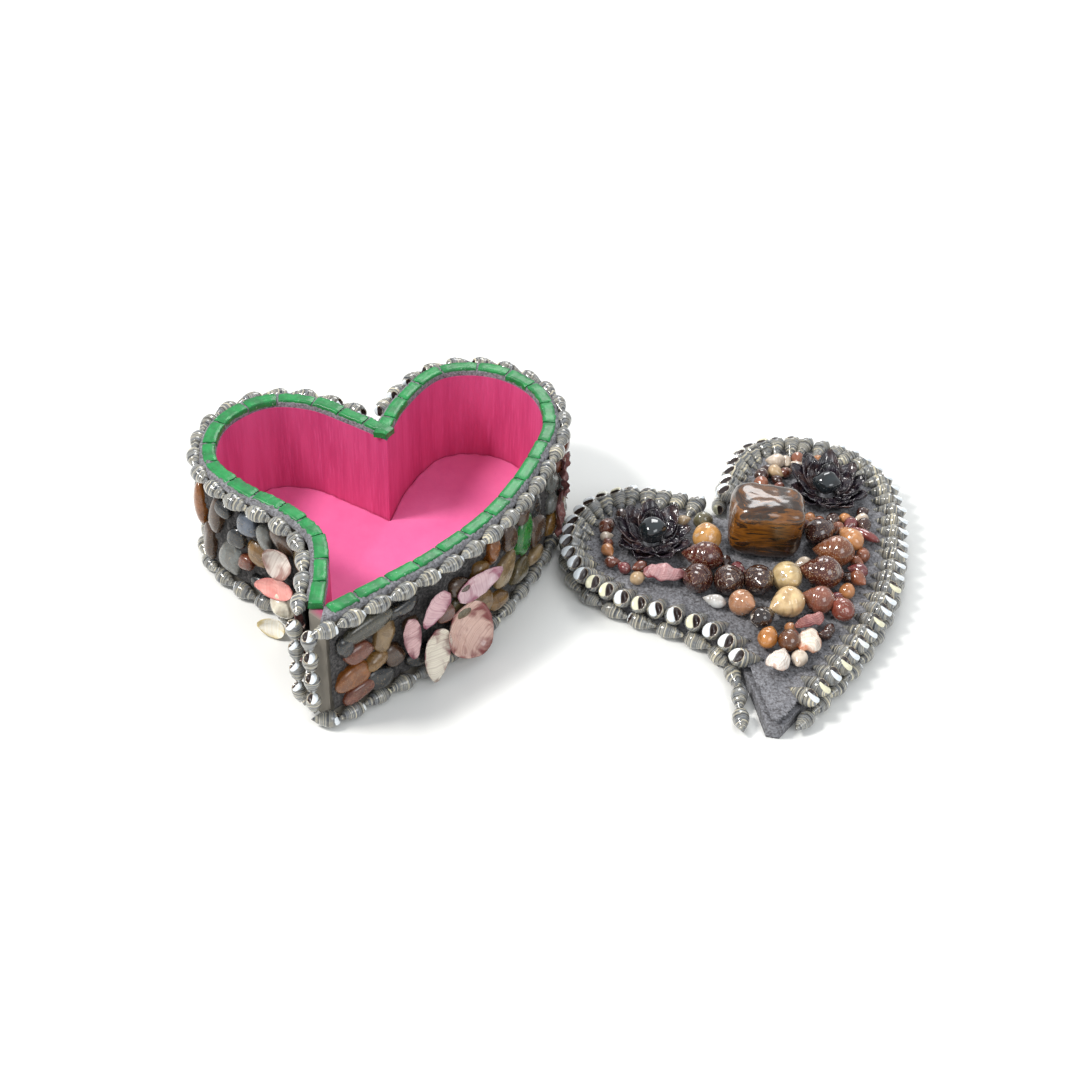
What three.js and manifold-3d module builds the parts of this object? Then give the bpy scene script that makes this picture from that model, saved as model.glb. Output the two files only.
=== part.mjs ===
// Shell box: a heart-shaped wooden trinket box with its lid lying beside it. The walls are dressed
// with polished pebbles set in grout, the rim with green glass tiles, and every edge with a row of
// small banded spiral shells. The lid carries two dark petal flowers, a tumbled brown stone and a
// field of assorted small shells. Millimetres, +Z up, standing on z = 0.
import * as THREE from 'three';
import { mergeVertices } from 'three/addons/utils/BufferGeometryUtils.js';
import Module from 'manifold-3d';

const wasm = await Module();
wasm.setup();

// ---------------------------------------------------------------- driving dimensions
const GAP = 0.3; // clearance left between neighbouring pieces
const BOX_HEIGHT = 54; // underside to the top of the rim tiles
const FLOOR_THICKNESS = 6.5;
const LINING_THICKNESS = 1;
const WALL_THICKNESS = 5.6;
const TILE_HEIGHT = 2; // a rim tile above its grout bed
const BED_HEIGHT = 1.5; // grout bed on top of the wall
const TILE_SEAT = 0.8; // how far up the bed a tile starts
const TILE_SETBACK = 0.3; // rim tiles, back from the inner wall
const TILE_PITCH = 13;
const TILE_WIDTH = 5.8;
const TILE_JOINT = 1;

const SHELL_RADIUS = 3.4; // banded edge shells, at the belly
const SHELL_PITCH = 12.6; // banded edge shells lie nose to tail
const EDGE_OFFSET = WALL_THICKNESS + SHELL_RADIUS + 2 * GAP; // their line, out from the inner wall
const GROUT_DEPTH = 2.3; // grout coat on the outside of the wall
const PEBBLE_BULGE = 3;
const PEBBLE_SEAT = 1.6; // how deep a pebble starts in its coat
const PETAL_THICKNESS = 1.6;
const CORNER_RADIUS = 2.9; // the shells that stand in two columns at the blunt corner
const CORNER_PLACES = { left: [-18.8, -91.8], right: [-12.6, -97.6] };

const LID_BOARD = 6; // thickness of the lid's board
const LID_GROUT = 3; // grout bed on the board
const LID_PLACE = [155.2, 1]; // lid from the box, centre to centre
const LID_TURN = 10.5; // degrees
const CROWN_PITCH = 7.8; // shells standing side by side round the top of the lid
const CROWN_LENGTH = 14.5;
const CROWN_RADIUS = 3.5;
const CROWN_OFFSET = 11.5; // their mouths, out from the inner wall line
const CROWN_HEIGHT = 2 * (SHELL_RADIUS + GAP) + CROWN_RADIUS; // their axis at the mouth
const CROWN_DROP = 2.5; // their points lie lower than their mouths
const FILLET_HEIGHT = 2.2; // grout that holds them, up from the board

// The inside of the wall, seen from above: two curves, each from the curled tip to the notch.
const TIP = new THREE.Vector2(-8, -87.5);
const NOTCH = new THREE.Vector2(5, 18);
const RIGHT_KNOTS = [
  [TIP.x, TIP.y], [28, -54], [49, -26], [64, 10], [69, 36], [62, 56], [45, 67.5], [25, 65], [11, 42],
  [NOTCH.x, NOTCH.y],
];
const LEFT_KNOTS = [
  [TIP.x, TIP.y], [-8.5, -70], [-13, -46], [-27, -31], [-48, -17], [-62, -1], [-62, 22], [-48, 37.5],
  [-31, 38], [-13, 29], [NOTCH.x, NOTCH.y],
];
// The blunt outer corner at the tip: the way it faces, in degrees, and how far it lies from TIP.
const BOX_CORNER = { facing: -131, reach: 4.5 };
const RIM_CORNER = { facing: -131, reach: 7.6 };
const LID_CORNER = { facing: -110, reach: 8 };
// Where the rows of edge shells begin, at the tip, and how many of the line's samples they skip.
const ROW_STARTS = {
  rimRight: { lead: [[-11.8, -101.8], [-7.3, -99.9]] },
  rimLeft: { lead: [[-17.6, -91]] },
  baseRight: { lead: [[-14.2, -97.8], [-5.9, -98.6]] },
  baseLeft: { lead: [[-17.6, -90.5]] },
  lidRight: { lead: [[-2.5, -95.4]] },
  lidLeft: { lead: [[-22.8, -94], [-20.8, -80]], skip: 18 },
};

// ---------------------------------------------------------------- materials
function material(color, roughness) {
  return new THREE.MeshStandardMaterial({ color, roughness, metalness: 0 });
}
const PINK = material(0xd23a80, 0.6);
const FLOOR_PINK = material(0xe8589a, 0.7);
const TILE_GREEN = material(0x0b8a4a, 0.25);
const BANDED = material(0x8a8a84, 0.3);
const GROUT = material(0xa9adb4, 0.85);
const PEBBLES = material(0x6d5138, 0.25);
const PURPLE_SHELL = material(0xa88090, 0.35);
const PALE_SHELL = material(0xe6dccb, 0.35);
const PINK_SHELL = material(0xd59a92, 0.4);
const MUSSEL = material(0x25222c, 0.25);
const BLACK_STONE = material(0x15181a, 0.15);
const BROWN_STONE = material(0x6b4318, 0.2);
const COWRIE = material(0x4e2418, 0.2);
const SPOTTED = material(0xc99f68, 0.25);
const ORANGE_SHELL = material(0xd08a45, 0.3);

// ---------------------------------------------------------------- solids
// A closed three.js geometry as a manifold solid, whichever way its faces were wound.
function solid(geometry) {
  const bare = geometry.index ? geometry.toNonIndexed() : geometry.clone();
  bare.deleteAttribute('normal');
  bare.deleteAttribute('uv');
  const merged = mergeVertices(bare, 1e-4);
  const vertProperties = new Float32Array(merged.attributes.position.array);
  const corners = Array.from(merged.index.array);
  const faces = [];
  for (let i = 0; i < corners.length; i += 3) {
    const [a, b, c] = corners.slice(i, i + 3);
    if (a !== b && b !== c && c !== a) faces.push([a, b, c]);
  }
  const volume = faces.reduce((sum, [a, b, c]) => sum + signedVolume(vertProperties, a, b, c), 0);
  const triVerts = new Uint32Array(faces.flatMap(([a, b, c]) => (volume < 0 ? [a, c, b] : [a, b, c])));
  return new wasm.Manifold(new wasm.Mesh({ numProp: 3, vertProperties, triVerts }));
}

function signedVolume(points, a, b, c) {
  const corner = (i) => new THREE.Vector3().fromArray(points, 3 * i);
  return corner(a).dot(corner(b).cross(corner(c))) / 6;
}

const join = (solids) => solids.reduce((whole, next) => whole.add(next));

function namedMesh(name, shape, look) {
  const { vertProperties, triVerts, numProp } = shape.getMesh();
  const geometry = new THREE.BufferGeometry();
  const position = new Float32Array((vertProperties.length / numProp) * 3);
  for (let i = 0; i < position.length; i += 1) {
    position[i] = vertProperties[Math.floor(i / 3) * numProp + (i % 3)];
  }
  geometry.setAttribute('position', new THREE.BufferAttribute(position, 3));
  geometry.setIndex(Array.from(triVerts));
  geometry.computeVertexNormals();
  const mesh = new THREE.Mesh(geometry, look);
  mesh.name = name;
  return mesh;
}

// A flat outline raised from z = low to z = high.
function prism(points, low, high) {
  const geometry = new THREE.ExtrudeGeometry(new THREE.Shape(points), {
    depth: high - low,
    bevelEnabled: false,
  });
  return solid(geometry.translate(0, 0, low));
}

// A pointed body turned from a profile of [distance along, radius], then flattened and laid from
// `from` towards `to`, with its flat side facing `up`.
function spindle({ from, to, up = [0, 0, 1], profile, width = 1, depth = 1, sides = 5 }) {
  const start = new THREE.Vector3(...from);
  const along = new THREE.Vector3(...to).sub(start);
  const length = along.length();
  along.normalize();
  const turned = profile.map(([t, r]) => new THREE.Vector2(r, t * length));
  const geometry = new THREE.LatheGeometry(turned, sides);
  const side = along.clone().cross(new THREE.Vector3(...up)).normalize();
  const lift = side.clone().cross(along);
  geometry.scale(width, 1, depth);
  geometry.applyMatrix4(new THREE.Matrix4().makeBasis(side, along, lift).setPosition(start));
  return solid(geometry);
}

// ---------------------------------------------------------------- the heart outline
// One side of the heart from tip to notch, sampled every millimetre or so, with the way out.
function heartSide(knots, hand) {
  const curve = new THREE.CatmullRomCurve3(
    knots.map(([x, y]) => new THREE.Vector3(x, y, 0)),
    false,
    'centripetal',
  );
  curve.arcLengthDivisions = 600;
  const length = curve.getLength();
  const at = (s) => {
    const u = THREE.MathUtils.clamp(s / length, 0, 1);
    const point = curve.getPointAt(u);
    const tangent = curve.getTangentAt(u);
    return {
      point: new THREE.Vector2(point.x, point.y),
      tangent: new THREE.Vector2(tangent.x, tangent.y),
      outward: new THREE.Vector2(tangent.y * hand, -tangent.x * hand),
      out: new THREE.Vector3(tangent.y * hand, -tangent.x * hand, 0),
    };
  };
  const steps = Math.round(length);
  const samples = Array.from({ length: steps + 1 }, (_, i) => at((i * length) / steps));
  return { length, at, samples };
}
const RIGHT = heartSide(RIGHT_KNOTS, 1);
const LEFT = heartSide(LEFT_KNOTS, -1);
RIGHT.other = LEFT;
LEFT.other = RIGHT;

const nearest = (side, point) => Math.min(...side.samples.map((sample) => sample.point.distanceTo(point)));

// Drops the points that a line doesn't need, keeping it within `tolerance`.
function simplify(line, tolerance) {
  if (line.length < 3) return line;
  const [first, last] = [line[0], line[line.length - 1]];
  const chord = last.clone().sub(first);
  const span = chord.length();
  let worst = 0;
  let split = 0;
  line.forEach((point, i) => {
    const away = Math.abs(chord.cross(point.clone().sub(first))) / span;
    if (away > worst) [worst, split] = [away, i];
  });
  if (worst < tolerance) return [first, last];
  const before = simplify(line.slice(0, split + 1), tolerance);
  return [...before.slice(0, -1), ...simplify(line.slice(split), tolerance)];
}

// The line at a distance outside one side, trimmed where it would cross itself or its neighbour,
// and carried on past the tip to the blunt corner, or by a plain length.
function offsetLine(side, offset, options = {}) {
  const { corner = null, extend = 0, clear = GAP / 2, tolerance = 0.35, skip = 0 } = options;
  const far = Math.abs(offset);
  const line = side.samples
    .slice(skip)
    .map(({ point, outward }) => point.clone().addScaledVector(outward, offset))
    .filter((point) => nearest(side, point) > far - 0.05 && nearest(side.other, point) > far + clear);
  const ahead = side.at(0).tangent.negate();
  if (corner) {
    const turn = THREE.MathUtils.degToRad(corner.facing);
    const facing = new THREE.Vector2(Math.cos(turn), Math.sin(turn));
    const missing = corner.reach - line[0].clone().sub(TIP).dot(facing);
    line.unshift(line[0].clone().addScaledVector(ahead, missing / ahead.dot(facing)));
  } else if (extend) {
    line.unshift(line[0].clone().addScaledVector(ahead, extend));
  }
  return simplify(line, tolerance);
}

const insideLine = (side) => simplify(side.samples.map(({ point }) => point), 0.35);

// The whole heart at a distance outside the inner wall.
function outline(offset, options = {}) {
  if (offset === 0) return [...insideLine(RIGHT), ...insideLine(LEFT).reverse().slice(1, -1)];
  return [...offsetLine(RIGHT, offset, options), ...offsetLine(LEFT, offset, options).reverse()];
}

// A ribbon along one side, between two distances from the inner wall.
function ribbon(side, inner, outer, options) {
  return [...offsetLine(side, outer, options), ...offsetLine(side, inner, options).reverse()];
}

// ---------------------------------------------------------------- shells in rows
// The profile of spiral shells nose to tail: each swells from its point to its belly.
function rowProfile(length, count, radius) {
  const step = length / count;
  const profile = [new THREE.Vector2(0, 0)];
  for (let i = 0; i < count; i += 1) {
    const neck = i === 0 ? 0.2 : 0.04;
    profile.push(new THREE.Vector2(radius * 0.62, (i + neck) * step));
    profile.push(new THREE.Vector2(radius, (i + 0.66) * step));
  }
  profile.push(new THREE.Vector2(0, length));
  return profile;
}

// A row of shells turned straight in one piece, then bent along a line at one height.
function shellChain(line, z) {
  const points = line.map(({ x, y }) => new THREE.Vector3(x, y, z));
  const path = new THREE.CatmullRomCurve3(points, false, 'centripetal');
  path.arcLengthDivisions = 400;
  const length = path.getLength();
  const profile = rowProfile(length, Math.round(length / SHELL_PITCH), SHELL_RADIUS);
  const row = new THREE.LatheGeometry(profile, 5);
  const position = row.attributes.position;
  for (let i = 0; i < position.count; i += 1) {
    const u = THREE.MathUtils.clamp(position.getY(i) / length, 0, 1);
    const centre = path.getPointAt(u);
    const tangent = path.getTangentAt(u);
    const aside = new THREE.Vector3(tangent.y, -tangent.x, 0).normalize();
    centre.addScaledVector(aside, position.getX(i));
    position.setXYZ(i, centre.x, centre.y, centre.z + position.getZ(i));
  }
  return solid(row);
}

// A standing column of shells at the blunt corner, points down.
function shellColumn([x, y], low, high) {
  const length = high - low;
  const profile = rowProfile(length, Math.round(length / SHELL_PITCH), CORNER_RADIUS);
  const column = new THREE.LatheGeometry(profile, 5);
  return solid(column.rotateX(Math.PI / 2).translate(x, y, low));
}

// Shells side by side round the top of the lid: mouths out, points in, on a low grout fillet.
function crownRow(side, { start, skew }) {
  const strip = ribbon(side, 0.5, WALL_THICKNESS - 0.5, { tolerance: 1 });
  const fillet = prism(strip, LID_BOARD + GAP, LID_BOARD + FILLET_HEIGHT);
  const reach = { extend: 4, clear: CROWN_RADIUS + 1, tolerance: 0.02 };
  const mouths = offsetLine(side, CROWN_OFFSET, reach);
  const path = new THREE.CatmullRomCurve3(mouths.map(({ x, y }) => new THREE.Vector3(x, y, CROWN_HEIGHT)));
  const count = Math.floor((path.getLength() - start) / CROWN_PITCH);
  const shells = [];
  for (let i = 0; i <= count; i += 1) {
    const u = (start + i * CROWN_PITCH) / path.getLength();
    const mouth = path.getPointAt(u);
    const tangent = path.getTangentAt(u);
    const inward = new THREE.Vector3(-tangent.y, tangent.x, 0).multiplyScalar(side === RIGHT ? 1 : -1);
    inward.addScaledVector(tangent, -skew).normalize();
    const apex = mouth.clone().addScaledVector(inward, CROWN_LENGTH);
    shells.push(spindle({
      from: [apex.x, apex.y, CROWN_HEIGHT - CROWN_DROP],
      to: mouth.toArray(),
      profile: [[0, 0], [0.75, CROWN_RADIUS], [1, 0]],
    }));
  }
  return join([fillet, ...shells]);
}

// ---------------------------------------------------------------- pebbled walls
// A place on the outside of a wall: distance along from the tip, height, and how far out.
function onWall(side, along, height, distance) {
  const { point, outward } = side.at(along);
  return [point.x + outward.x * distance, point.y + outward.y * distance, height];
}

// One pebble: [along, height, half length, half height, tilt in degrees].
function pebble(side, [along, height, halfLength, halfHeight, tilt = 0]) {
  const surface = WALL_THICKNESS + GAP + GROUT_DEPTH;
  const turn = THREE.MathUtils.degToRad(tilt);
  return spindle({
    from: onWall(side, along, height, surface - PEBBLE_SEAT),
    to: onWall(side, along, height, surface + PEBBLE_BULGE),
    up: new THREE.Vector3(0, 0, 1).applyAxisAngle(side.at(along).out, turn).toArray(),
    profile: [[0, 0], [0.36, 1], [1, 0.62], [1, 0]],
    width: halfLength,
    depth: halfHeight,
  });
}

const WALL_LOW = 2 * (SHELL_RADIUS + GAP) + 0.2;
const WALL_HIGH = BOX_HEIGHT - 2 * SHELL_RADIUS - GAP - 0.2;

// Rows of mixed pebbles for the stretch of wall from `start` to `end`.
function pebbleRows(start, end) {
  const rows = 2;
  const rise = (WALL_HIGH - WALL_LOW) / rows;
  const stones = [];
  for (let row = 0; row < rows; row += 1) {
    let along = start + 12 + 6 * row;
    for (let i = 0; along < end - 8; i += 1) {
      const half = 12.5 + 2 * Math.sin(5 * i + 2 * row);
      const height = WALL_LOW + rise * (row + 0.5) + Math.sin(3 * i + row);
      stones.push([along, height, half, rise * (0.38 + 0.05 * Math.cos(4 * i)), 8 * Math.sin(2 * i + row)]);
      along += 2 * half + 1.5;
    }
  }
  return stones;
}

function mosaic(side, stones, options) {
  const inner = WALL_THICKNESS + 2 * GAP;
  const outer = WALL_THICKNESS + GAP + GROUT_DEPTH;
  const coat = prism(ribbon(side, inner, outer, { ...options, tolerance: 0.6 }), WALL_LOW, WALL_HIGH);
  return join([coat, ...stones.map((stone) => pebble(side, stone))]);
}

// The stones of the front, as [along, height, half length, half height, tilt].
const RIGHT_STONES = [
  [3, 37, 4, 5], [11, 41, 11, 4, 12], [7, 31, 7, 4, 10], [20, 31, 5, 7, -25], [5, 20, 8, 5, -8],
  [7, 11.5, 7, 3, 5], [14, 21, 5, 3.5], [24, 20, 5, 5, 20], [18, 11.8, 6, 4], [30, 41, 6, 3, 10],
  [59, 27, 6, 6], [68, 33, 4, 7, -10], [68, 18, 6, 6], [64, 11, 5, 3], [75, 42, 3.5, 4, -20],
  [84, 25, 6, 8, -25], [87, 41, 4.5, 5, -15], [98, 31, 5, 9, -15], [106, 41, 4, 5], [98, 14, 6, 5],
  [80, 11, 6, 3], [112, 24, 6, 7],
];
const LEFT_STONES = [
  [60, 41, 6, 6], [72, 39, 4, 6], [80, 41, 6, 5], [75, 27, 6, 5, 10], [86, 31, 4, 5], [84, 20, 4, 3],
  [90, 17, 6, 8, 10], [97, 38, 3, 9, 12], [103, 18, 3, 9, 5], [75, 12, 6, 4], [108, 35, 4, 10, 8],
  [20, 38, 6, 5], [33, 38, 5, 5], [46, 39, 5, 5], [33, 13, 6, 4], [16, 13, 5, 4],
];

// ---------------------------------------------------------------- the box
const WALL_TOP = BOX_HEIGHT - TILE_HEIGHT - BED_HEIGHT - GAP;

function boxBody() {
  const block = prism(outline(WALL_THICKNESS, { corner: BOX_CORNER }), 0, WALL_TOP);
  return block.subtract(prism(outline(0), FLOOR_THICKNESS, WALL_TOP + 1));
}

function floorLining() {
  const low = FLOOR_THICKNESS + GAP;
  return prism(outline(-0.8, { clear: -0.05 }), low, low + LINING_THICKNESS);
}

// Green tiles in a grout bed: a ring along each side, parted by narrow joints.
function rimTiles() {
  const low = WALL_TOP + GAP;
  const outer = outline(WALL_THICKNESS, { corner: RIM_CORNER, tolerance: 0.5 });
  const bed = prism(outer, low, low + BED_HEIGHT).subtract(prism(outline(0), low - 1, BOX_HEIGHT));
  const tiles = [RIGHT, LEFT].map((side) => {
    const track = ribbon(side, TILE_SETBACK, TILE_WIDTH, { tolerance: 0.6 });
    const strip = prism(track, low + TILE_SEAT, BOX_HEIGHT);
    const count = Math.round(side.length / TILE_PITCH);
    const joints = Array.from({ length: count - 1 }, (_, i) => {
      const { point, outward } = side.at(((i + 1) * side.length) / count);
      const centre = point.clone().addScaledVector(outward, TILE_WIDTH * 0.6);
      const saw = new THREE.BoxGeometry(2 * TILE_WIDTH, TILE_JOINT, TILE_HEIGHT);
      return solid(saw.rotateZ(outward.angle()).translate(centre.x, centre.y, BOX_HEIGHT));
    });
    return strip.subtract(join(joints));
  });
  return join([bed, ...tiles]);
}

const RIM_LINE_Z = BOX_HEIGHT - GAP - SHELL_RADIUS;
const BASE_LINE_Z = GAP + SHELL_RADIUS;
const CHAIN_FIT = { clear: SHELL_RADIUS, tolerance: 0.05 };

// Edge shells along one side of the heart, led in at the tip.
function edgeChain(side, { lead, skip = 0 }, z) {
  const line = offsetLine(side, EDGE_OFFSET, { ...CHAIN_FIT, skip });
  return shellChain([...lead.map(([x, y]) => new THREE.Vector2(x, y)), ...line], z);
}

// A flat petal or open valve fixed to a wall, from one [along, height, distance] to another.
function wallPetal(side, from, to, width) {
  const middle = side.at((from[0] + to[0]) / 2);
  return spindle({
    from: onWall(side, ...from),
    to: onWall(side, ...to),
    up: middle.out.toArray(),
    profile: [[0, 0], [0.3, 0.8], [0.7, 1], [1, 0]],
    width,
    depth: PETAL_THICKNESS,
    sides: 6,
  });
}

const ALL_RIGHT_STONES = [...RIGHT_STONES, ...pebbleRows(124, RIGHT.length - 14)];
const ALL_LEFT_STONES = [...LEFT_STONES, ...pebbleRows(114, LEFT.length - 14)];

const box = new THREE.Group();
box.add(
  namedMesh('box_body', boxBody(), PINK),
  namedMesh('floor_lining', floorLining(), FLOOR_PINK),
  namedMesh('rim_tiles', rimTiles(), TILE_GREEN),
  namedMesh('rim_shells_right', edgeChain(RIGHT, ROW_STARTS.rimRight, RIM_LINE_Z), BANDED),
  namedMesh('rim_shells_left', edgeChain(LEFT, ROW_STARTS.rimLeft, RIM_LINE_Z), BANDED),
  namedMesh('base_shells_right', edgeChain(RIGHT, ROW_STARTS.baseRight, BASE_LINE_Z), BANDED),
  namedMesh('base_shells_left', edgeChain(LEFT, ROW_STARTS.baseLeft, BASE_LINE_Z), BANDED),
  namedMesh('corner_shells_right', shellColumn(CORNER_PLACES.right, WALL_LOW, WALL_HIGH), BANDED),
  namedMesh('corner_shells_left', shellColumn(CORNER_PLACES.left, WALL_LOW, WALL_HIGH), BANDED),
  namedMesh('mosaic_right', mosaic(RIGHT, ALL_RIGHT_STONES, { extend: 6.5 }), PEBBLES),
  namedMesh('mosaic_left', mosaic(LEFT, ALL_LEFT_STONES, {}), PEBBLES),
);

const WALL_PIECES = [
  ['spray_long_petal', RIGHT, [52, 34, 13], [74, 36, 15], 4.5, PURPLE_SHELL],
  ['spray_upper_petal', RIGHT, [46, 43, 14], [35, 31, 14], 4.2, PURPLE_SHELL],
  ['spray_lower_petal', RIGHT, [29.5, 38, 13], [30.5, 18, 14], 3.8, PURPLE_SHELL],
  ['spray_oval_shell', RIGHT, [42, 25, 14], [38, 3, 17], 6, PALE_SHELL],
  ['spray_cup_shell', RIGHT, [50, 27, 14], [63, 5, 19], 10.5, PALE_SHELL],
  ['spray_centre_stone', RIGHT, [42, 31, 13], [49, 31, 13], 3.5, COWRIE],
  ['left_open_shell', LEFT, [52, 31, 13], [67, 37, 14.5], 6.5, PALE_SHELL],
  ['left_pink_shell', LEFT, [50, 23, 13], [74, 17.5, 15], 4.2, PINK_SHELL],
  ['left_moon_snail', LEFT, [51, 15, 14], [66, 9, 15], 6, PALE_SHELL],
  ['left_pointed_shell', LEFT, [50, 5, 18], [66, 4.5, 22], 4, PALE_SHELL],
];
WALL_PIECES.forEach(([name, side, from, to, width, look]) => {
  box.add(namedMesh(name, wallPetal(side, from, to, width), look));
});
box.add(
  namedMesh('small_shells_left', join([
    wallPetal(LEFT, [8, 44, 12], [10, 28, 12], 4),
    wallPetal(LEFT, [10, 31, 12], [8, 18, 12], 4),
    wallPetal(LEFT, [8, 21, 12], [10, 8, 12], 3.5),
  ]), PURPLE_SHELL),
  namedMesh('small_shells_right', join([
    wallPetal(RIGHT, [138, 45, 13.5], [133, 26, 13.5], 4.5),
    wallPetal(RIGHT, [134, 30, 13.5], [127, 10, 13.5], 4.5),
  ]), PURPLE_SHELL),
);

// ---------------------------------------------------------------- the lid
const LID_TOP = LID_BOARD + GAP + LID_GROUT;
const LID_TIP_SLAB = [[-14, -79], [-16.8, -82], [-18.8, -96.5], [-2.5, -90.5], [-5, -86]];

function lidBoard() {
  const slab = prism(LID_TIP_SLAB.map(([x, y]) => new THREE.Vector2(x, y)), 0, LID_BOARD);
  return prism(outline(WALL_THICKNESS, { corner: LID_CORNER }), 0, LID_BOARD).add(slab);
}

const FOOT_HEIGHT = 2; // of the round base of a flower

// Petals standing in a ring, opening outwards and up, fused at a low round base.
function petalFlower([x, y], { petals, radius, height, base }) {
  const foot = new THREE.CylinderGeometry(base, base + 1, FOOT_HEIGHT, 7).rotateX(Math.PI / 2);
  const ring = Array.from({ length: petals }, (_, i) => {
    const angle = (i * 2 * Math.PI) / petals;
    const [outX, outY] = [Math.cos(angle), Math.sin(angle)];
    const reach = radius + 1.5 * Math.sin(3 * i);
    return spindle({
      from: [x + outX * (base - 1.5), y + outY * (base - 1.5), LID_TOP + GAP + 0.7],
      to: [x + outX * reach, y + outY * reach, LID_TOP + height + 2 * Math.cos(2 * i)],
      up: [-outX, -outY, 1],
      profile: [[0, 0], [0.62, 1], [1, 0]],
      width: (0.68 * radius * Math.PI) / petals,
      depth: 1.3,
      sides: 4,
    });
  });
  return join([solid(foot.translate(x, y, LID_TOP + GAP + FOOT_HEIGHT / 2)), ...ring]);
}

// A rounded stone or shell lying on the lid: [name, x, y, heading, length, radius, look].
const LID_PIECES = [
  ['orange_snail', -13.5, 9, 80, 14, 5.2, ORANGE_SHELL],
  ['olive_snail', -12, 21.5, 80, 8, 3.6, BANDED],
  ['dark_cowrie', -18.5, -4, 160, 16, 5.4, COWRIE],
  ['dark_spire_left', -24, -18, 60, 13, 5.2, COWRIE],
  ['dark_spire_middle', -11.5, -21, 70, 13, 5.4, COWRIE],
  ['dark_spire_right', 1, -22.5, 85, 13, 5.4, COWRIE],
  ['spotted_cone', 13.5, -22, 100, 14, 5.4, SPOTTED],
  ['mottled_cowrie_front', 27.5, -21, 160, 17, 6, COWRIE],
  ['mottled_cowrie_middle', 37, -8, 165, 16, 5.6, COWRIE],
  ['mottled_cowrie_back', 36, 6, 30, 15, 5, COWRIE],
  ['orange_cone', 47.5, 1.5, 110, 13, 4, ORANGE_SHELL],
  ['purple_sliver', 55.5, 6, 130, 14, 1.8, PURPLE_SHELL],
  ['red_limpet', -36, -10.5, 165, 18, 4.6, PURPLE_SHELL],
  ['white_bubble', -19, -28.5, 150, 9, 2.4, PALE_SHELL],
  ['brown_snail', -8.5, -34, 120, 11, 4.6, ORANGE_SHELL],
  ['speckled_snail', -2, -42, 30, 11, 3.8, SPOTTED],
  ['cream_whelk', 8.5, -37, 200, 15, 5.4, PALE_SHELL],
  ['red_whelk', 22, -36, 150, 13, 5, COWRIE],
  ['white_flecked_cone', 30.5, -41, 110, 12, 4, SPOTTED],
  ['red_shard', 15.5, -47, 20, 14, 3, PURPLE_SHELL],
  ['orange_bubble', -3, -53, 60, 11, 3.4, ORANGE_SHELL],
  ['glossy_snail', 5, -56, 60, 11, 3.8, COWRIE],
  ['ribbed_cockle', 12.5, -57.5, 250, 14, 4.2, PALE_SHELL],
  ['white_disc', -2.5, -67, 230, 12, 4, PALE_SHELL],
];

function lidPiece([, x, y, heading, length, radius]) {
  const turn = THREE.MathUtils.degToRad(heading);
  const [dx, dy] = [(Math.cos(turn) * length) / 2, (Math.sin(turn) * length) / 2];
  const z = LID_TOP + GAP + radius;
  return spindle({
    from: [x + dx, y + dy, z],
    to: [x - dx, y - dy, z],
    profile: [[0, 0], [0.38, 0.82 * radius], [0.75, radius], [1, 0]],
  });
}

const TIGER_EYE = { place: [11, 7], turn: -14, size: [31, 24, 26], edge: 4 };
const FLOWER_LEFT = { place: [-36, 14], radius: 17, petals: 9, height: 9, base: 6 };
const FLOWER_RIGHT = { place: [48, 37], radius: 18, petals: 10, height: 10, base: 6 };

function tumbledBlock({ place, turn, size: [width, depth, height], edge }) {
  const [w, d, cut] = [width / 2 - edge, depth / 2 - edge, 2];
  const corners = [
    [w, -d + cut], [w, d - cut], [w - cut, d], [-w + cut, d],
    [-w, d - cut], [-w, -d + cut], [-w + cut, -d], [w - cut, -d],
  ];
  const face = new THREE.Shape(corners.map(([x, y]) => new THREE.Vector2(x, y)));
  const block = new THREE.ExtrudeGeometry(face, {
    depth: height - 2 * edge,
    bevelThickness: edge,
    bevelSize: edge,
    bevelSegments: 1,
  });
  block.rotateZ(THREE.MathUtils.degToRad(turn));
  return solid(block.translate(place[0], place[1], LID_TOP + GAP + edge));
}

function centrePebble([x, y]) {
  const low = LID_TOP + GAP + FOOT_HEIGHT + GAP;
  return spindle({
    from: [x, y, low],
    to: [x, y, low + 8],
    up: [0, 1, 0],
    profile: [[0, 0], [0.12, 2.5], [0.5, 4.6], [1, 0]],
    sides: 7,
  });
}

const lid = new THREE.Group();
lid.add(
  namedMesh('lid_board', lidBoard(), GROUT),
  namedMesh('lid_grout', prism(outline(-4.5), LID_BOARD + GAP, LID_TOP), GROUT),
  namedMesh('lid_edge_shells_right', edgeChain(RIGHT, ROW_STARTS.lidRight, BASE_LINE_Z), BANDED),
  namedMesh('lid_edge_shells_left', edgeChain(LEFT, ROW_STARTS.lidLeft, BASE_LINE_Z), BANDED),
  namedMesh('lid_crown_shells_right', crownRow(RIGHT, { start: 2, skew: -0.2 }), BANDED),
  namedMesh('lid_crown_shells_left', crownRow(LEFT, { start: 20, skew: 0.2 }), BANDED),
  namedMesh('tiger_eye_stone', tumbledBlock(TIGER_EYE), BROWN_STONE),
  namedMesh('petal_flower_left', petalFlower(FLOWER_LEFT.place, FLOWER_LEFT), MUSSEL),
  namedMesh('petal_flower_right', petalFlower(FLOWER_RIGHT.place, FLOWER_RIGHT), MUSSEL),
  namedMesh('flower_pebble_left', centrePebble(FLOWER_LEFT.place), BLACK_STONE),
  namedMesh('flower_pebble_right', centrePebble(FLOWER_RIGHT.place), BLACK_STONE),
  ...LID_PIECES.map((piece) => namedMesh(`lid_${piece[0]}`, lidPiece(piece), piece[6])),
);
lid.position.set(...LID_PLACE, 0);
lid.rotation.z = THREE.MathUtils.degToRad(LID_TURN);

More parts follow.
